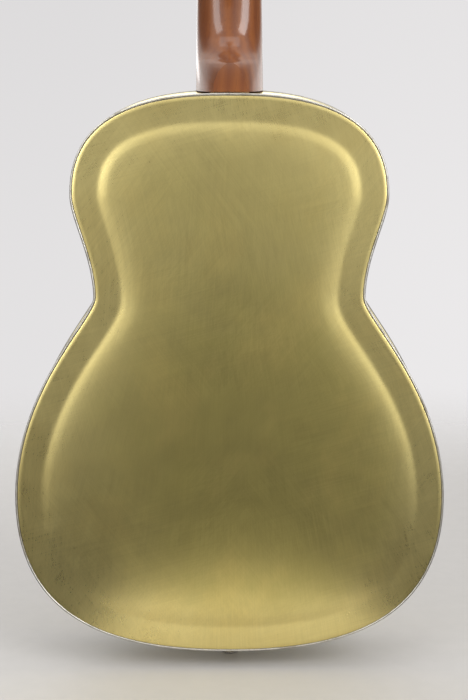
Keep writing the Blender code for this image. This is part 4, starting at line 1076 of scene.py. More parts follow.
def make_winding(number):
    """The turns of a string on its post, rising to the post's hole, through it and out by a short end."""
    diameter = STRING_DIAMETERS[number - 1]
    radius, half = winding_radius(diameter), winding_span(diameter)
    side = math.copysign(1, post_places()[number - 1][0])
    start, steps = math.pi * (1 + side) / 2, TURN_STEPS
    low, high, hole = WRAP_HEIGHT - half, WRAP_HEIGHT + half, (WRAP_HEIGHT + POST_STANDS) / 2
    points = []
    for k in range(WINDING_TURNS * steps):
        share = k / (WINDING_TURNS * steps)
        angle = start - side * math.tau * WINDING_TURNS * share
        points.append((radius * math.cos(angle), radius * math.sin(angle), low + (high - low) * share))
    for k in range(steps // 2 + 1):
        share = 2 * k / steps
        angle = start - side * math.pi * share
        rise = high + (hole - high) * share * share * (3 - 2 * share)
        points.append((radius * math.cos(angle), radius * math.sin(angle), rise))
    points += [(side * reach * MM, 0, hole) for reach in POST_HOLE_PATH]
    coil = tube(f"string_turns_{number}", points, diameter / 2)
    coil.data.transform(post_frame(number))
    return coil




# ---------------------------------------------------------------- tuners


EAR_X, EAR_THICK, EAR_HALF = 5.2 * MM, 1.2 * MM, 2.9 * MM
PLATE_HALF_WIDTH, PLATE_END = 8 * MM, (15 * MM, 10 * MM)
STUB_RADIUS = 1.5 * MM
TUNER_SCREWS = (25.1, 52.5, 88.5, 117.8)  # millimetres up the headstock


def make_ear(x, z, low):
    """One ear: an arch up to the worm's shaft, with eased edges and the shaft's bearing through it."""
    turns = [math.pi * k / 12 for k in range(13)]
    arch = [(EAR_HALF * math.cos(t), TUNER_PLANE + EAR_HALF * math.sin(t)) for t in turns]
    outline = arch + [(-EAR_HALF, low), (EAR_HALF, low)]
    half, edge = EAR_THICK / 2, 0.2 * MM
    rings = []
    for off, ease in ((-half, edge), (-half + edge, 0), (half - edge, 0), (half, edge)):
        shrink = 1 - ease / EAR_HALF
        ring = []
        for along, y in outline:
            height = TUNER_PLANE + (y - TUNER_PLANE) * (shrink if y > TUNER_PLANE else 1)
            ring.append((x + off, height, z + along * shrink))
        rings.append(ring)
    across = HEAD_PLACE @ at(x, TUNER_PLANE, z) @ turned(QUARTER, "Y")
    bearing = prism("bearing", circle(0, 0, WORM_ROOT + 0.25 * MM, 20), -3 * MM, 3 * MM, across)
    return combine(loft("ear", rings, HEAD_PLACE), [bearing])


def make_tuner_plate(name, side):
    """A strip with eased edges that carries three tuners, with bent-up ears for the worms' shafts."""
    near, far = HEAD_THICK + GAP, HEAD_THICK + GAP + PLATE_THICK
    low, high = POST_Z[0] - PLATE_END[0], POST_Z[-1] + PLATE_END[1]
    # +Z forwards, so the plate's heights are negative.
    back = HEAD_PLACE @ turned(QUARTER, "X")
    strip = round_box(PLATE_HALF_WIDTH, (high - low) / 2, 4 * MM, steps=6)
    loop = [(x + side * POST_X, z + (low + high) / 2) for x, z in strip]
    holes = [circle(side * POST_X, z, POST_HOLE_RADIUS, 32) for z in POST_Z]
    plate = flat_sheet(name, [loop, *holes], -far, -near, back, edge=0.25 * MM)
    ears = [make_ear(side * POST_X + inner * EAR_X, z - WORM_DISTANCE, (near + far) / 2)
            for z in POST_Z for inner in (-1, 1)]
    return combine(plate, [gather("ears", ears)], "UNION", angle=30)


def make_tuner_screws():
    """Four round-headed screws through each tuner plate."""
    heads = []
    for side in (-1, 1):
        for k, z in enumerate(TUNER_SCREWS):
            place = HEAD_PLACE @ at(side * POST_X, HEAD_THICK + GAP + PLATE_THICK, z * MM)
            backwards = place @ turned(-QUARTER, "X")
            heads.append(screw_head(backwards, 1.75 * MM, 0.9 * MM, k + side))
    return gather("tuner_screws", heads)


def make_bushings():
    """The collars that the posts turn in, let into the headstock's face."""
    collars = []
    inner, outer = POST_RADIUS + 0.12 * MM, 5 * MM
    profile = [(inner, 1.1 * MM), (inner + 0.35 * MM, 1.45 * MM), (3.9 * MM, 1.3 * MM), (4.3 * MM, 0.7 * MM)]
    profile += [(outer - 0.3 * MM, 0.55 * MM), (outer, 0.3 * MM), (outer, 0.02 * MM), (3.65 * MM, 0.02 * MM)]
    profile += [(3.65 * MM, -6 * MM), (inner, -6 * MM)]
    for number in NUMBERS:
        collars.append(lathe("collar", profile, post_frame(number), 40, looped=True))
    return gather("post_bushings", collars)


def make_post(number):
    """A string post: a rounded, waisted head in front, a plain shaft, and a stub in the gear."""
    seat = -(TUNER_PLANE - GEAR_WIDTH / 2 - GAP)
    stub = -(TUNER_PLANE + GEAR_WIDTH / 2 + 0.1 * MM)
    top, wide = POST_STANDS, POST_RADIUS
    waist = wide - 0.25 * MM
    profile = [(0, top), (wide - 1.1 * MM, top), (wide - 0.35 * MM, top - 0.3 * MM), (wide, top - 0.9 * MM)]
    profile += [(wide, top - 2.4 * MM), (waist, top - 3 * MM), (waist, WRAP_HEIGHT - 2.6 * MM)]
    profile += [(wide, WRAP_HEIGHT - 3.4 * MM), (wide, seat)]
    profile += [(STUB_RADIUS, seat), (STUB_RADIUS, stub), (0, stub)]
    post = lathe(f"post_{number}_pin", profile, post_frame(number), 40)
    height = (WRAP_HEIGHT + POST_STANDS) / 2
    across = post_frame(number) @ at(0, 0, height) @ turned(QUARTER, "Y")
    return combine(post, [prism("hole", circle(0, 0, 0.9 * MM, 16), -3 * wide, 3 * wide, across)])


# One tooth as (share of its pitch, radius in millimetres).
TOOTH_SIDE = ((0.08, 5.8), (0.13, 5.6), (0.19, 5.2), (0.24, 4.8), (0.3, 4.55))
TOOTH = ((-0.5, 4.5), *[(-share, radius) for share, radius in reversed(TOOTH_SIDE)], *TOOTH_SIDE)
TOOTH_EASED_ABOVE = 5 * MM


def gear_ring(level, twist, ease):
    """A section of the gear's teeth, at a level from -1 to 1 through its width."""
    ring, height = [], level * GEAR_WIDTH / 2 - TUNER_PLANE
    for index in range(GEAR_TEETH):
        for share, size in TOOTH:
            turn = (index + 0.5 + share) * math.tau / GEAR_TEETH - QUARTER + level * twist
            radius = size * MM - (ease if size * MM > TOOTH_EASED_ABOVE else 0)
            ring.append((radius * math.cos(turn), radius * math.sin(turn), height))
    return ring


def make_gear(number):
    """A helical gear wheel with curved teeth and a raised hub, cut to clear the worm's thread."""
    lead = WORM_PITCH / (math.pi * (WORM_ROOT + WORM_CREST))
    twist = lead * GEAR_WIDTH / 2 / GEAR_PITCH_RADIUS
    levels = [(-1, 0.25 * MM)] + [(-1 + 0.25 * k, 0) for k in range(1, 8)] + [(1, 0.25 * MM)]
    teeth = [gear_ring(level, twist, ease) for level, ease in levels]
    turns = [math.atan2(y, x) for x, y, _ in teeth[-1]]
    half, hub, bore = GEAR_WIDTH / 2, 3.3 * MM, STUB_RADIUS + 0.05 * MM
    dish, rise = -half + 0.25 * MM, -half - 0.45 * MM
    back = [(bore, rise), (hub, rise), (hub + 0.2 * MM, dish), (3.9 * MM, dish), (4.1 * MM, -half)]
    front = [(hub, half), (bore, half)]

    def flat_rings(shape):
        return [[(radius * math.cos(t), radius * math.sin(t), height - TUNER_PLANE) for t in turns]
                for radius, height in shape]

    rings = flat_rings(back) + teeth + flat_rings(front)
    return loft(f"gear_{number}_wheel", rings, post_frame(number), looped=True, angle=28)


def make_gear_screw(number):
    """The slotted screw that holds the gear on its post."""
    place = post_frame(number) @ at(0, 0, -TUNER_PLANE - GEAR_WIDTH / 2 - 0.47 * MM)
    return screw_head(place @ turned(math.pi, "X"), 2.5 * MM, 1.0 * MM, 0.8 * number)


def thread_radius(phase):
    """Radius of the worm at a phase of its thread, where a whole number is a crest."""
    tip, foot = 0.10, 0.26
    away = abs((phase + 0.5) % 1 - 0.5)
    share = min(1.0, max(0.0, (foot - away) / (foot - tip)))
    return WORM_ROOT + (WORM_CREST - WORM_ROOT) * share


def make_worm(number):
    """The worm and its shaft in one piece: an inner stub, a right-hand thread and a shaft to the button."""
    half, sides = 3 * WORM_PITCH / 2, 36
    stations = [(-SHAFT_INNER, 0.8), (-SHAFT_INNER + 0.3 * MM, 1), (-half - 0.5 * MM, 1)]
    stations += [(-half + 2 * half * k / 72, None) for k in range(73)]
    stations += [(half + 0.5 * MM, 1), (15.6 * MM, 1), (16 * MM, 1.35), (17.6 * MM, 1.35), (18 * MM, 1.05)]
    stations += [(18.4 * MM, 1), (SHAFT_OUTER - 0.2 * MM, 1), (SHAFT_OUTER, 0.85)]
    rings = []
    for height, size in stations:
        ring = []
        for j in range(sides):
            share = j / sides
            if size is None:
                fade = min(1.0, (half - abs(height)) / (0.35 * MM))
                radius = WORM_ROOT + (thread_radius(height / WORM_PITCH - share) - WORM_ROOT) * fade
            else:
                radius = WORM_ROOT * size
            turn = math.tau * share
            ring.append((radius * math.cos(turn), radius * math.sin(turn), height))
        rings.append(ring)
    return loft(f"worm_{number}_shaft", rings, worm_frame(number), angle=34)


# The button's size along its length, as (share of the length, share of its widest), up to its dome.
BUTTON_SHAPE = ((0.0, 0.42), (0.04, 0.46), (0.14, 0.52), (0.28, 0.74),
                (0.45, 0.93), (0.6, 1.0), (0.8, 0.97), (0.86, 0.93))
DOME_START, DOME_SIZE = BUTTON_SHAPE[-1]


def button_size(share):
    if share <= DOME_START:
        return smooth_table(BUTTON_SHAPE, share)[0]
    return DOME_SIZE * math.sqrt(max(0.0, 1 - ((share - DOME_START) / (1 - DOME_START)) ** 2))


def make_button(number):
    """An oval button, waisted at its neck, with a soft domed end and a bore for its shaft."""
    long, thin, lift, steps, sides = 7.8 * MM, 4.6 * MM, 0.35 * MM, 34, 48
    bore, bore_depth = WORM_ROOT + 0.08 * MM, 5.2 * MM
    turns = [math.tau * j / sides for j in range(sides)]
    rings = [[(0, 0, BUTTON_START + bore_depth)] * sides]
    for height in (bore_depth, 0.0):
        rings.append([(bore * math.cos(t), bore * math.sin(t), BUTTON_START + height) for t in turns])
    for k in range(steps + 1):
        share = k / steps
        size = button_size(share)
        flat = 1 - 0.12 * max(0.0, 1 - abs(share - 0.55) / 0.4)
        height = BUTTON_START + share * BUTTON_LENGTH
        wide, deep = long * size, (thin * flat + lift) * size
        rings.append([(wide * math.cos(t), deep * math.sin(t), height) for t in turns])
    return loft(f"button_{number}_knob", rings, worm_frame(number), capped=False, angle=50)


# ---------------------------------------------------------------- shader values


def feed(socket, value):
    """Puts a number, a colour or another node's output on a socket."""
    if isinstance(value, Value):
        socket.id_data.links.new(value.socket, socket)
    elif socket.type == "RGBA" and len(value) == 3:
        socket.default_value = (*value, 1)
    else:
        socket.default_value = value


def add_node(tree, kind, inputs, output=0, **options):
    """Adds a node with its options, feeds its inputs and gives back one of its outputs."""
    made = tree.nodes.new(kind)
    for key, value in options.items():
        setattr(made, key, value)
    for key, value in inputs.items():
        feed(made.inputs[key], value)
    return Value(made.outputs[output])


def calculate(tree, operation, a, b=0.0):
    return add_node(tree, "ShaderNodeMath", {0: a, 1: b}, operation=operation)


class Value:
    """A node's output. Sums and products of values add the nodes that work them out."""

    def __init__(self, socket):
        self.socket = socket
        self.tree = socket.id_data

    def __add__(self, other):
        return calculate(self.tree, "ADD", self, other)

    def __sub__(self, other):
        return calculate(self.tree, "SUBTRACT", self, other)

    def __rsub__(self, other):
        return calculate(self.tree, "SUBTRACT", other, self)

    def __mul__(self, other):
        return calculate(self.tree, "MULTIPLY", self, other)

    def __truediv__(self, other):
        return calculate(self.tree, "DIVIDE", self, other)

    def __pow__(self, other):
        return calculate(self.tree, "POWER", self, other)

    def __abs__(self):
        return calculate(self.tree, "ABSOLUTE", self)

    def sine(self):
        return calculate(self.tree, "SINE", self)

    def root(self):
        return calculate(self.tree, "SQRT", self)

    def at_least(self, other):
        return calculate(self.tree, "MAXIMUM", self, other)

    def ramp(self, low, high, start=0.0, end=1.0):
        """Maps low..high to start..end, smoothly and clamped."""
        span = {"Value": self, "From Min": low, "From Max": high, "To Min": start, "To Max": end}
        return add_node(self.tree, "ShaderNodeMapRange", span, "Result", interpolation_type="SMOOTHSTEP")

    def axes(self):
        """The three coordinates of a place or a direction."""
        made = self.tree.nodes.new("ShaderNodeSeparateXYZ")
        feed(made.inputs[0], self)
        return [Value(output) for output in made.outputs]


class Paint:
    """A procedural material. Patterns are in metres of the piece's own space, which is the world at rest."""

    def __init__(self, name, base, metallic=0.0, roughness=0.5, **sockets):
        self.material = bpy.data.materials.new(name)
        self.material.use_nodes = True
        self.tree = self.material.node_tree
        self.shader = self.tree.nodes["Principled BSDF"]
        self.place = add_node(self.tree, "ShaderNodeTexCoord", {}, "Object")
        self.height = None
        self.set(Base_Color=base, Metallic=metallic, Roughness=roughness, **sockets)

    def set(self, **sockets):
        """Puts numbers, colours or values on the shader's own sockets."""
        for key, value in sockets.items():
            feed(self.shader.inputs[key.replace("_", " ")], value)

    def noise(self, scale, detail, rough, where=None, warp=0.0):
        inputs = {"Vector": where or self.place, "Scale": scale, "Detail": detail, "Roughness": rough}
        return add_node(self.tree, "ShaderNodeTexNoise", inputs | {"Distortion": warp}, "Fac")

    def stretched(self, stretch, turn=(0, 0, 0)):
        """The place turned by angles in degrees, then scaled along each axis."""
        inputs = {"Vector": self.place, "Rotation": [math.radians(angle) for angle in turn]}
        turned = add_node(self.tree, "ShaderNodeVectorRotate", inputs, rotation_type="EULER_XYZ")
        return add_node(self.tree, "ShaderNodeVectorMath", {0: turned, 1: stretch}, operation="MULTIPLY")

    def join(self, x, y, z):
        return add_node(self.tree, "ShaderNodeCombineXYZ", {0: x, 1: y, 2: z})

    def mix(self, share, a, b, kind="MIX"):
        options = {"data_type": "RGBA", "blend_type": kind}
        return add_node(self.tree, "ShaderNodeMix", {0: share, 6: a, 7: b}, 2, **options)

    def shaded(self, tone, light):
        """A colour made lighter or darker by a number."""
        return self.mix(1.0, tone, self.join(light, light, light), "MULTIPLY")

    def bump(self, height, distance):
        """Adds relief: a height of 1 stands proud by the distance in metres."""
        inputs = {"Strength": 1.0, "Distance": distance, "Height": height}
        if self.height:
            inputs["Normal"] = self.height
        self.height = add_node(self.tree, "ShaderNodeBump", inputs)
        self.set(Normal=self.height)

    def finish(self, tone, rough, *reliefs):
        """Puts on the colour, the roughness and each relief, as (height, distance)."""
        self.set(Base_Color=tone, Roughness=rough)
        for height, distance in reliefs:
            self.bump(height, distance)
        return self.material


def dimmed(colour, share):
    return tuple(channel * share for channel in colour)


# ---------------------------------------------------------------- materials

# Colours are linear. Noise scales are in cells per metre, so 1000 makes marks of about a millimetre.


def scratch_layers(paint, turns, across, along):
    """Fine scratches in several directions in the XZ plane, each strongest in its own patches."""
    total = None
    for index, turn in enumerate(turns):
        lines = paint.noise(1.0, 3.0, 0.6, paint.stretched((across, 40, along), (0, turn, 0)))
        elsewhere = paint.stretched((1, 1, 1), (31 * index, 17, 40 * index))
        layer = (lines - 0.5) * paint.noise(9, 1.5, 0.5, elsewhere).ramp(0.36, 0.62)
        total = total + layer if total else layer
    return total


def brass_back_paint():
    """Scratch-brushed brass with an olive patina, darkest in the middle of the back."""
    paint = Paint("brass_back", (0.78, 0.655, 0.245), metallic=1.0, roughness=0.32)
    x, y, z = paint.place.axes()
    # Rubbing marks that fan out downwards from above the neck end.
    fan = paint.join(x / (0.56 - z), 0.0, z * 0.045)
    rubbing = paint.noise(520, 4, 0.65, fan) - 0.5
    scratches = scratch_layers(paint, (4, 38, -36, 74, -12), 1300, 24) + rubbing
    mottle = paint.noise(42, 5, 0.62)
    cloud = paint.noise(9, 3, 0.5, warp=0.4)
    # Distance from the middle of the lower bout, as a share of its size.
    far = ((x + 0.028) / 0.135) ** 2.0 + ((z - 0.165) / 0.175) ** 2.0
    raised = y.ramp(HALF_DEPTH + 0.1 * MM, HALF_DEPTH + 2.4 * MM, 0.0, 0.42)
    patina = (far.ramp(1.4, 0.0) * 0.42 + cloud * 0.34 + raised + mottle * 0.30).ramp(0.22, 1.25)
    tone = paint.mix(patina, (0.80, 0.675, 0.285), (0.43, 0.365, 0.125))
    warm = paint.noise(16, 4, 0.6, paint.stretched((1, 1, 0.7), (0, 20, 0))).ramp(0.42, 0.7, 0.0, 0.30)
    tone = paint.shaded(paint.mix(warm, tone, (0.70, 0.545, 0.19)), scratches.ramp(-0.35, 0.35, 0.95, 1.05))
    spots = paint.noise(150, 2, 0.5).ramp(0.72, 0.82, 0.0, 0.12)
    rough = patina.ramp(0, 1, 0.29, 0.34) + scratches * 0.05 + (mottle - 0.5) * 0.08
    return paint.finish(paint.mix(spots, tone, (0.33, 0.27, 0.10)), rough, (scratches, 4e-6), (mottle, 6e-5))


def brass_front_paint():
    """The same brass with finer brushing, for the top, the sides' walls and the fittings."""
    paint = Paint("brass_front", (0.80, 0.665, 0.27), metallic=1.0, roughness=0.33)
    scratches = scratch_layers(paint, (2, 44, -40, 86), 1700, 30)
    mottle = paint.noise(40, 5, 0.6)
    patina = paint.noise(9, 4, 0.55, warp=0.3).ramp(0.35, 0.75, 0.0, 0.7)
    tone = paint.mix(patina, (0.83, 0.70, 0.30), (0.52, 0.46, 0.17))
    rough = mottle.ramp(0.3, 0.7, 0.26, 0.38) + scratches * 0.10
    light = scratches.ramp(-0.35, 0.35, 0.93, 1.06)
    return paint.finish(paint.shaded(tone, light), rough, (scratches, 1.2e-5), (mottle, 8e-5))


def bead_paint():
    """The bare silvery metal of the rolled edge, worn by handling, with darker grime in patches."""
    paint = Paint("worn_bead", (0.60, 0.575, 0.52), metallic=1.0, roughness=0.38)
    grime = paint.noise(48, 5, 0.62).ramp(0.46, 0.72, 0.0, 0.7)
    fine = paint.noise(900, 3, 0.6, paint.stretched((1, 1, 0.15)))
    tone = paint.mix(grime, (0.52, 0.50, 0.455), (0.20, 0.175, 0.125))
    tone = paint.shaded(tone, fine.ramp(0.3, 0.7, 0.86, 1.08))
    return paint.finish(tone, grime.ramp(0, 0.7, 0.40, 0.60) + (fine - 0.5) * 0.2, (fine, 3e-5))


def nickel_paint(name="nickel_plate", base=(0.66, 0.64, 0.60), rough=0.2):
    """Nickel plate, slightly clouded, with fine scratches and a little tarnish."""
    paint = Paint(name, base, metallic=1.0, roughness=rough)
    scratches = scratch_layers(paint, (12, 70, -48), 1500, 45)
    cloud = paint.noise(55, 5, 0.6)
    tarnish = paint.noise(90, 5, 0.65, warp=0.5).ramp(0.55, 0.80, 0.0, 0.55)
    dull = tuple(channel * share for channel, share in zip(base, (0.62, 0.57, 0.47)))
    roughness = cloud.ramp(0.3, 0.75, rough - 0.05, rough + 0.12) + scratches * 0.25
    return paint.finish(paint.mix(tarnish, base, dull), roughness, (scratches, 2e-5), (cloud, 5e-5))


def steel_paint():
    """Plain drawn steel with a faint brown bloom."""
    paint = Paint("plain_steel", (0.50, 0.49, 0.47), metallic=1.0, roughness=0.34)
    bloom = paint.noise(160, 5, 0.65).ramp(0.55, 0.78, 0.0, 0.5)
    fine = paint.noise(1400, 2, 0.6, paint.stretched((1, 1, 0.1)))
    tone = paint.mix(bloom, (0.53, 0.52, 0.50), (0.27, 0.20, 0.14))
    return paint.finish(tone, fine.ramp(0.3, 0.7, 0.26, 0.46), (fine, 2e-5))


def spun_paint():
    """Spun aluminium: fine rings round the cone's axis."""
    base = (0.80, 0.80, 0.79)
    paint = Paint("spun_rings", base, metallic=1.0, roughness=0.36)
    x, _, z = paint.place.axes()
    radius = (x**2.0 + (z - MIDDLE_Z) ** 2.0).root()
    rings = paint.noise(2600, 3, 0.6, paint.join(radius, 0.0, 0.0))
    broad = paint.noise(300, 2, 0.5, paint.join(radius, 0.01, 0.0))
    rough = rings.ramp(0.3, 0.7, 0.28, 0.44) + (paint.noise(30, 4, 0.55) - 0.5) * 0.15
    return paint.finish(paint.shaded(base, (rings + broad).ramp(0.7, 1.3, 0.80, 1.06)), rough, (rings, 3e-5))


def wood_paint(name, light, dark, pores, ring_width, rough, coat):
    """Straight-grained wood along Z: growth rings, fibres, open pores and a slow change of tone."""
    tilt = (2, 3, 0)
    paint = Paint(name, light, roughness=rough, Coat_Weight=coat, Coat_Roughness=0.12)
    x, y, _ = paint.stretched((1, 1, 1), tilt).axes()
    wander = paint.noise(3.2, 3, 0.5, paint.stretched((2, 2, 1), tilt))
    rings = ((x + y * 0.55 + wander * 0.008) * (math.tau / ring_width)).sine()
    fibres = paint.noise(1, 4, 0.62, paint.stretched((1500, 1500, 26), tilt))
    streaks = paint.noise(1, 3, 0.6, paint.stretched((190, 190, 5), tilt))
    slow = paint.noise(11, 3, 0.5, paint.stretched((1, 1, 0.35), tilt))
    pits = paint.noise(1, 2, 0.5, paint.stretched((1900, 1900, 95), tilt)).ramp(0.62, 0.74)
    share = (rings * 0.13 + (fibres * 0.45 + streaks * 0.65) + slow * 0.5).ramp(0.45, 1.15)
    tone = paint.mix(pits * pores, paint.mix(share, dark, light), dimmed(dark, 0.35))
    roughness = fibres.ramp(0.3, 0.7, rough - 0.06, rough + 0.08) + pits * (0.2 * pores)
    paint.finish(tone, roughness, (fibres, 3e-5), (pits, -6e-5 * pores))
    return paint


def mahogany_paint():
    paint = wood_paint("mahogany", (0.185, 0.056, 0.011), (0.115, 0.030, 0.007), 0.55, 0.011, 0.40, 0.7)
    paint.set(Specular_IOR_Level=0.15, Coat_Roughness=0.14, Coat_IOR=1.6)
    return paint.material


def maple_paint():
    return wood_paint("bare_maple", (0.66, 0.47, 0.27), (0.50, 0.33, 0.17), 0.2, 0.007, 0.55, 0.0).material


def ebony_paint():
    return wood_paint("ebony", (0.040, 0.030, 0.025), (0.014, 0.011, 0.009), 0.4, 0.006, 0.38, 0.1).material


def bone_paint():
    """Polished bone: warm white, with faint streaks and slightly darker pores."""
    paint = Paint("polished_bone", (0.80, 0.74, 0.60), roughness=0.3, Subsurface_Weight=0.15, Coat_Weight=0.2)
    paint.set(Subsurface_Radius=(0.002, 0.0012, 0.0006))
    streaks = paint.noise(1, 4, 0.6, paint.stretched((90, 1100, 1100)))
    cloud = paint.noise(130, 4, 0.55).ramp(0.55, 0.8, 0.0, 0.5)
    tone = paint.mix(streaks.ramp(0.35, 0.7), (0.83, 0.77, 0.63), (0.70, 0.62, 0.46))
    tone = paint.mix(cloud, tone, (0.62, 0.52, 0.34))
    return paint.finish(tone, streaks.ramp(0.3, 0.7, 0.24, 0.40), (streaks, 3e-5))


def button_paint():
    """Cream button plastic with soft swirls and handling marks."""
    paint = Paint("cream_button", (0.80, 0.73, 0.55), roughness=0.24, Subsurface_Weight=0.2, Coat_Weight=0.3)
    paint.set(Subsurface_Radius=(0.003, 0.002, 0.001))
    swirl = paint.noise(95, 4, 0.55, warp=2.5)
    fine = paint.noise(1300, 2, 0.5)
    tone = paint.mix(swirl.ramp(0.35, 0.72), (0.84, 0.78, 0.62), (0.66, 0.56, 0.36))
    return paint.finish(tone, fine.ramp(0.3, 0.75, 0.18, 0.36), (fine, 1e-5))


def gear_brass_paint():
    """Machined brass with turning marks and dark grease in the low places."""
    paint = Paint("machined_brass", (0.76, 0.58, 0.24), metallic=1.0, roughness=0.3)
    fine = paint.noise(1700, 3, 0.6, paint.stretched((1, 0.12, 1)))
    grease = paint.noise(260, 4, 0.6).ramp(0.55, 0.78, 0.0, 0.6)
    tone = paint.mix(grease, (0.78, 0.60, 0.26), (0.24, 0.17, 0.07))
    return paint.finish(tone, fine.ramp(0.3, 0.7, 0.22, 0.44), (fine, 2e-5))


def string_paint(name, base, pitch):
    """Wound string, or plain where the pitch is 0. The windings are fine rings along the string, with painted
    shade in the grooves between them.
    """
    paint = Paint(name, base, metallic=1.0, roughness=0.3)
    tone = paint.mix(paint.noise(420, 4, 0.6).ramp(0.5, 0.8, 0.0, 0.5), base, dimmed(base, 0.45))
    if pitch:
        rings = (paint.place.axes()[2] * (math.tau / pitch)).sine()
        paint.bump(rings, pitch * 0.12)
        # Painted shade: the grooves between the windings are painted darker.
        tone = paint.mix(rings.ramp(-1, -0.2, 0.5, 0.0), tone, dimmed(base, 0.3))
    return paint.finish(tone, paint.noise(900, 2, 0.5).ramp(0.3, 0.7, 0.2, 0.38))


def pearl_paint():
    """Shell dots: pale, with slow bands of faint pink and green."""
    paint = Paint("shell_dot", (0.80, 0.80, 0.76), roughness=0.2, Coat_Weight=0.6)
    bands = paint.noise(260, 3, 0.5, warp=3.0)
    tone = paint.mix(bands.ramp(0.4, 0.6), (0.84, 0.80, 0.78), (0.66, 0.76, 0.70))
    return paint.finish(tone, bands.ramp(0.3, 0.7, 0.14, 0.30))


def black_paint():
    """The truss rod's cover: black laminate, slightly scuffed."""
    paint = Paint("black_laminate", (0.018, 0.018, 0.018), roughness=0.3, Coat_Weight=0.3)
    scuffs = scratch_layers(paint, (20, -30, 80), 1500, 60)
    cloud = paint.noise(120, 4, 0.6)
    tone = paint.mix(cloud.ramp(0.4, 0.8), (0.014, 0.014, 0.014), (0.040, 0.038, 0.036))
    return paint.finish(tone, cloud.ramp(0.3, 0.7, 0.22, 0.36) + scuffs * 0.3, (scuffs, 1e-5))


# ---------------------------------------------------------------- stage


CAMERA_AWAY, CAMERA_HEIGHT, CAMERA_AIM = 1.30, 11.4, Vector((-0.0038, 0.041, 0.2653))
LENS = 80.9
BACKDROP, STUDIO_TONE, FLOOR_TONE = (0.83, 0.815, 0.82), (1.0, 0.985, 0.96), (0.395, 0.384, 0.377)
# Colour of the floor's painted glow: light it gives off in reflections only, though it is no lamp.
FLOOR_PAINTED_GLOW = (1, 0.97, 0.92)
# What the studio shows behind the camera, as (upward part of the direction, brightness).
STUDIO_LEVELS = ((-0.60, 0.25), (-0.45, 0.08), (-0.34, 0.0), (-0.26, 0.01), (-0.17, 0.17), (-0.08, 0.17),
                 (-0.01, 0.03), (0.06, 0.02), (0.11, 0.32), (0.16, 0.68), (0.6, 0.70))
# Ramps, as (low, high, level at low, level at high). These shape the studio over a direction's parts.
BAND_BELOW, BAND_ABOVE = (-0.26, -0.09, 0.0, 1.0), (0.02, 0.14, 1.0, 0.38)
SIDE_GLOW, FAR_SIDE, FRONT_GLOW = (0.03, 0.34, 0.0, 1.3), (0.66, 0.86, 1.0, 0.22), (-0.9, -0.5, 0.8, 0.0)
BACKDROP_SIDE, BACKDROP_RISE = (-0.15, 0.15, 1.0, 0.93), (-0.2, 0.1, 1.0, 0.93)
# These shape the floor, in metres from the body's axis; the last ramp is where its painted glow rises.
FLOOR_FADE, FLOOR_MIRROR_FADE = (0.55, 1.15, 1.0, 0.0), (0.19, 0.31, 1.0, 0.0)
FLOOR_PAINTED_GLOW_RISE = (0.12, 0.19, 0.0, 0.86)
STUDIO_MIDDLE, FLOOR_MIDDLE, FLOOR_MIRROR_WIDTH = 0.02, -0.012, 1.6
# Area lights, as (name, place, target, size, watts).
LIGHTS = (
    ("soft_above", (0, 0.4, 2.6), (0, 0, 0.3), (1.8, 1.2), 10),
    ("soft_left", (1.30, 1.80, 1.30), (0, 0, 0.6), (0.8, 2.1), 24),
    ("soft_right", (-1.55, 1.55, 1.25), (0, 0, 0.6), (1.0, 2.1), 46),
    ("soft_front", (0.4, -2.4, 1.2), (0, 0, 0.3), (1.6, 1.6), 14),
)


def make_camera():
    """Looks at the back from behind and a little above."""
    camera = bpy.data.objects.new("camera", bpy.data.cameras.new("camera"))
    camera.data.lens = LENS
    camera.data.clip_start = 0.05
    up = math.radians(CAMERA_HEIGHT)
    camera.location = CAMERA_AIM + CAMERA_AWAY * Vector((0, math.cos(up), math.sin(up)))
    camera.rotation_euler = (QUARTER - up, 0, math.pi)
    bpy.context.scene.collection.objects.link(camera)
    bpy.context.scene.camera = camera


def make_floor():
    """A pale matte floor that fades into the backdrop, and sooner so in reflections, where near the body it
    also glows with painted light.
    """
    radius, height = 1.6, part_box("end_pin")[0].z - 0.3 * MM
    bpy.ops.mesh.primitive_circle_add(vertices=96, radius=radius, fill_type="NGON", location=(0, 0, height))
    floor = bpy.context.object
    floor.name = "floor"
    paint = Paint("floor", FLOOR_TONE, roughness=0.6)
    x, y, _ = paint.place.axes()
    seen = add_node(paint.tree, "ShaderNodeLightPath", {}, "Is Camera Ray")
    mirrored = 1.0 - seen
    far = (x**2.0 + y**2.0).root()
    reach = (((x - FLOOR_MIDDLE) * FLOOR_MIRROR_WIDTH) ** 2.0 + y**2.0).root()
    paint.set(
        Base_Color=paint.mix(paint.noise(60, 4, 0.6).ramp(0.3, 0.7), FLOOR_TONE, dimmed(FLOOR_TONE, 1.03)),
        Alpha=far.ramp(*FLOOR_FADE) * seen + reach.ramp(*FLOOR_MIRROR_FADE) * mirrored,
        # Painted light: in reflections the floor glows, strongest a little way towards the camera from the
        # body.
        Emission_Color=FLOOR_PAINTED_GLOW,
        Emission_Strength=mirrored * y.ramp(*FLOOR_PAINTED_GLOW_RISE),
    )
    floor.data.materials.append(paint.material)


def studio_curve(up):
    """The studio's brightness behind the camera, from the upward part of the direction."""
    low, high = STUDIO_LEVELS[0][0], STUDIO_LEVELS[-1][0]
    curve = up.tree.nodes.new("ShaderNodeValToRGB")
    feed(curve.inputs[0], (up - low) / (high - low))
    stops = curve.color_ramp.elements
    while len(stops) < len(STUDIO_LEVELS):
        stops.new(0.5)
    for stop, (rise, level) in zip(stops, STUDIO_LEVELS):
        stop.position = (rise - low) / (high - low)
        stop.color = (level, level, level, 1)
    return Value(curve.outputs[0])


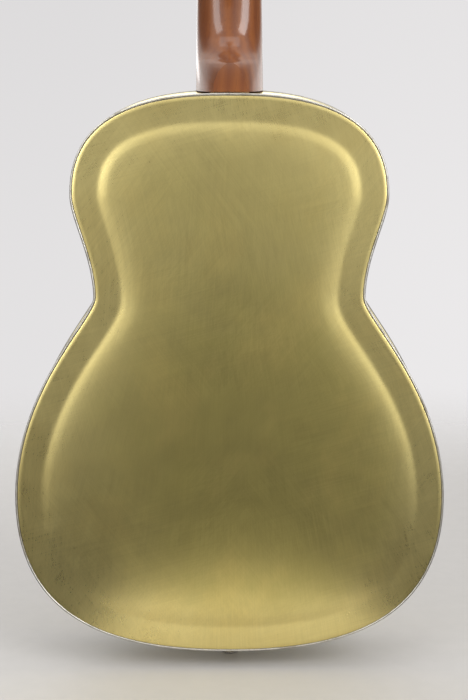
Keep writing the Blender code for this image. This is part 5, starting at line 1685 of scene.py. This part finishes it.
def make_world():
    """Pale backdrop for the camera. Reflections see a studio, darker near the horizon behind the camera."""
    world = bpy.data.worlds.new("studio")
    bpy.context.scene.world = world
    world.use_nodes = True
    tree = world.node_tree
    tree.nodes.clear()
    side, back, up = add_node(tree, "ShaderNodeTexCoord", {}, "Generated").axes()
    away = abs(side - STUDIO_MIDDLE)
    band = up.ramp(*BAND_BELOW) * up.ramp(*BAND_ABOVE)
    level = (studio_curve(up) + away.ramp(*SIDE_GLOW) * band) * away.ramp(*FAR_SIDE)
    level = level.at_least(back.ramp(*FRONT_GLOW))
    pale = side.ramp(*BACKDROP_SIDE) * up.ramp(*BACKDROP_RISE)
    studio = add_node(tree, "ShaderNodeBackground", {"Color": STUDIO_TONE, "Strength": level})
    backdrop = add_node(tree, "ShaderNodeBackground", {"Color": BACKDROP, "Strength": pale})
    seen = add_node(tree, "ShaderNodeLightPath", {}, "Is Camera Ray")
    both = add_node(tree, "ShaderNodeMixShader", {0: seen, 1: studio, 2: backdrop})
    feed(tree.nodes.new("ShaderNodeOutputWorld").inputs["Surface"], both)


def make_lights():
    for name, place, target, size, power in LIGHTS:
        light = bpy.data.lights.new(name, "AREA")
        light.shape = "RECTANGLE"
        light.size, light.size_y = size
        light.energy = power
        lamp = bpy.data.objects.new(name, light)
        lamp.location = place
        lamp.rotation_euler = (Vector(target) - Vector(place)).to_track_quat("-Z", "Y").to_euler()
        bpy.context.scene.collection.objects.link(lamp)




# ---------------------------------------------------------------- assembly


def dress(piece, material, slot, body="root", *nodes):
    """Gives a piece its material and body, and hides the nodes that it stands for. The slot is not used."""
    piece.data.materials.clear()
    piece.data.materials.append(material)
    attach(piece, body)
    if nodes:
        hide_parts(*nodes)


def repaint(node, material):
    """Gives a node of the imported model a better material."""
    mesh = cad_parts[node].data
    mesh.materials.clear()
    mesh.materials.append(material)


STEEL, NICKEL, MAPLE, BONE = steel_paint(), nickel_paint(), maple_paint(), bone_paint()
SIDES = (("treble", 1), ("bass", -1))


def build_body():
    brass = brass_front_paint()
    dress(make_back(), brass_back_paint(), "satin_brass", "root", "back_plate")
    dress(make_top(), brass, "satin_brass", "root", "top_plate")
    bead = bead_paint()
    for name, side in SIDES:
        band = make_side(f"side_sheet_{name}", side)
        dress(band, brass, "satin_brass", "root", f"side_band_{name}")
        band.data.materials.append(bead)
        for face in band.data.polygons:
            face.material_index = int(abs(face.center.y) > HALF_DEPTH - ROLL - 1.2 * MM)
    dress(make_cover(), NICKEL, "satin_brass", "root", "coverplate")
    dress(make_cover_screws(), NICKEL, "nickel")
    dress(make_hand_guard(), NICKEL, "satin_brass", "root", "hand_rest")
    dress(make_cone(), spun_paint(), "spun_aluminium", "root", "resonator_cone")
    dress(make_biscuit(), MAPLE, "maple", "root", "biscuit")
    dress(make_saddle(), MAPLE, "maple", "root", "saddle")
    dress(make_tail_strap(), NICKEL, "nickel", "root", "tailpiece")
    dress(make_end_button(), NICKEL, "nickel", "root", "end_pin")
    for node in ("stick_block_lower", "stick_block_upper"):
        dress(make_stick_block(node), MAPLE, "maple", "root", node)
    repaint("neck_stick", MAPLE)
    repaint("cone_well", brass)
    for node in ("truss_rod", "truss_rod_nut", "biscuit_screw"):
        repaint(node, STEEL)


def build_neck():
    dress(make_neck_body(), mahogany_paint(), "mahogany", "root", "neck")
    dress(make_board(), ebony_paint(), "ebony", "root", "fingerboard")
    dress(make_frets(), nickel_paint("fret_wire", (0.70, 0.69, 0.66), 0.16), "nickel")
    dress(make_dots(), pearl_paint(), "bone")
    dress(make_bone_nut(), BONE, "bone", "root", "nut")
    dress(make_rod_cover(), black_paint(), "ebony", "root", "truss_rod_cover")
    dress(make_rod_cover_screws(), NICKEL, "nickel")


def build_strings():
    plain = string_paint("plain_string", (0.66, 0.65, 0.62), 0)
    looks = [(plain, "steel"), (plain, "steel")]
    for k, pitch in enumerate((0.26, 0.32, 0.38, 0.44)):
        looks.append((string_paint(f"wound_string_{k}", (0.72, 0.52, 0.30), pitch * MM), "string_bronze"))
    for number, (paint, slot) in zip(NUMBERS, looks):
        dress(make_string(number), paint, slot, "root", f"string_{number}")
        dress(make_winding(number), paint, slot, f"post_{number}", f"string_winding_{number}")


def build_tuners():
    gear_brass, button = gear_brass_paint(), button_paint()
    for name, side in SIDES:
        dress(make_tuner_plate(f"tuner_strip_{name}", side), NICKEL, "nickel", "root", f"tuner_plate_{name}")
    dress(make_tuner_screws(), NICKEL, "nickel")
    dress(make_bushings(), NICKEL, "nickel")
    for number in NUMBERS:
        post, worm = f"post_{number}", f"worm_{number}"
        dress(make_post(number), NICKEL, "nickel", post, f"tuner_post_{number}")
        dress(make_gear(number), gear_brass, "gear_brass", post, f"tuner_gear_{number}")
        dress(make_gear_screw(number), STEEL, "steel", post)
        dress(make_worm(number), STEEL, "steel", worm, f"tuner_worm_{number}")
        dress(make_button(number), button, "button", worm, f"tuner_button_{number}")


build_body()
build_neck()
build_strings()
build_tuners()
make_camera()
make_floor()
make_world()
make_lights()
bpy.context.scene.view_settings.view_transform = "Standard"
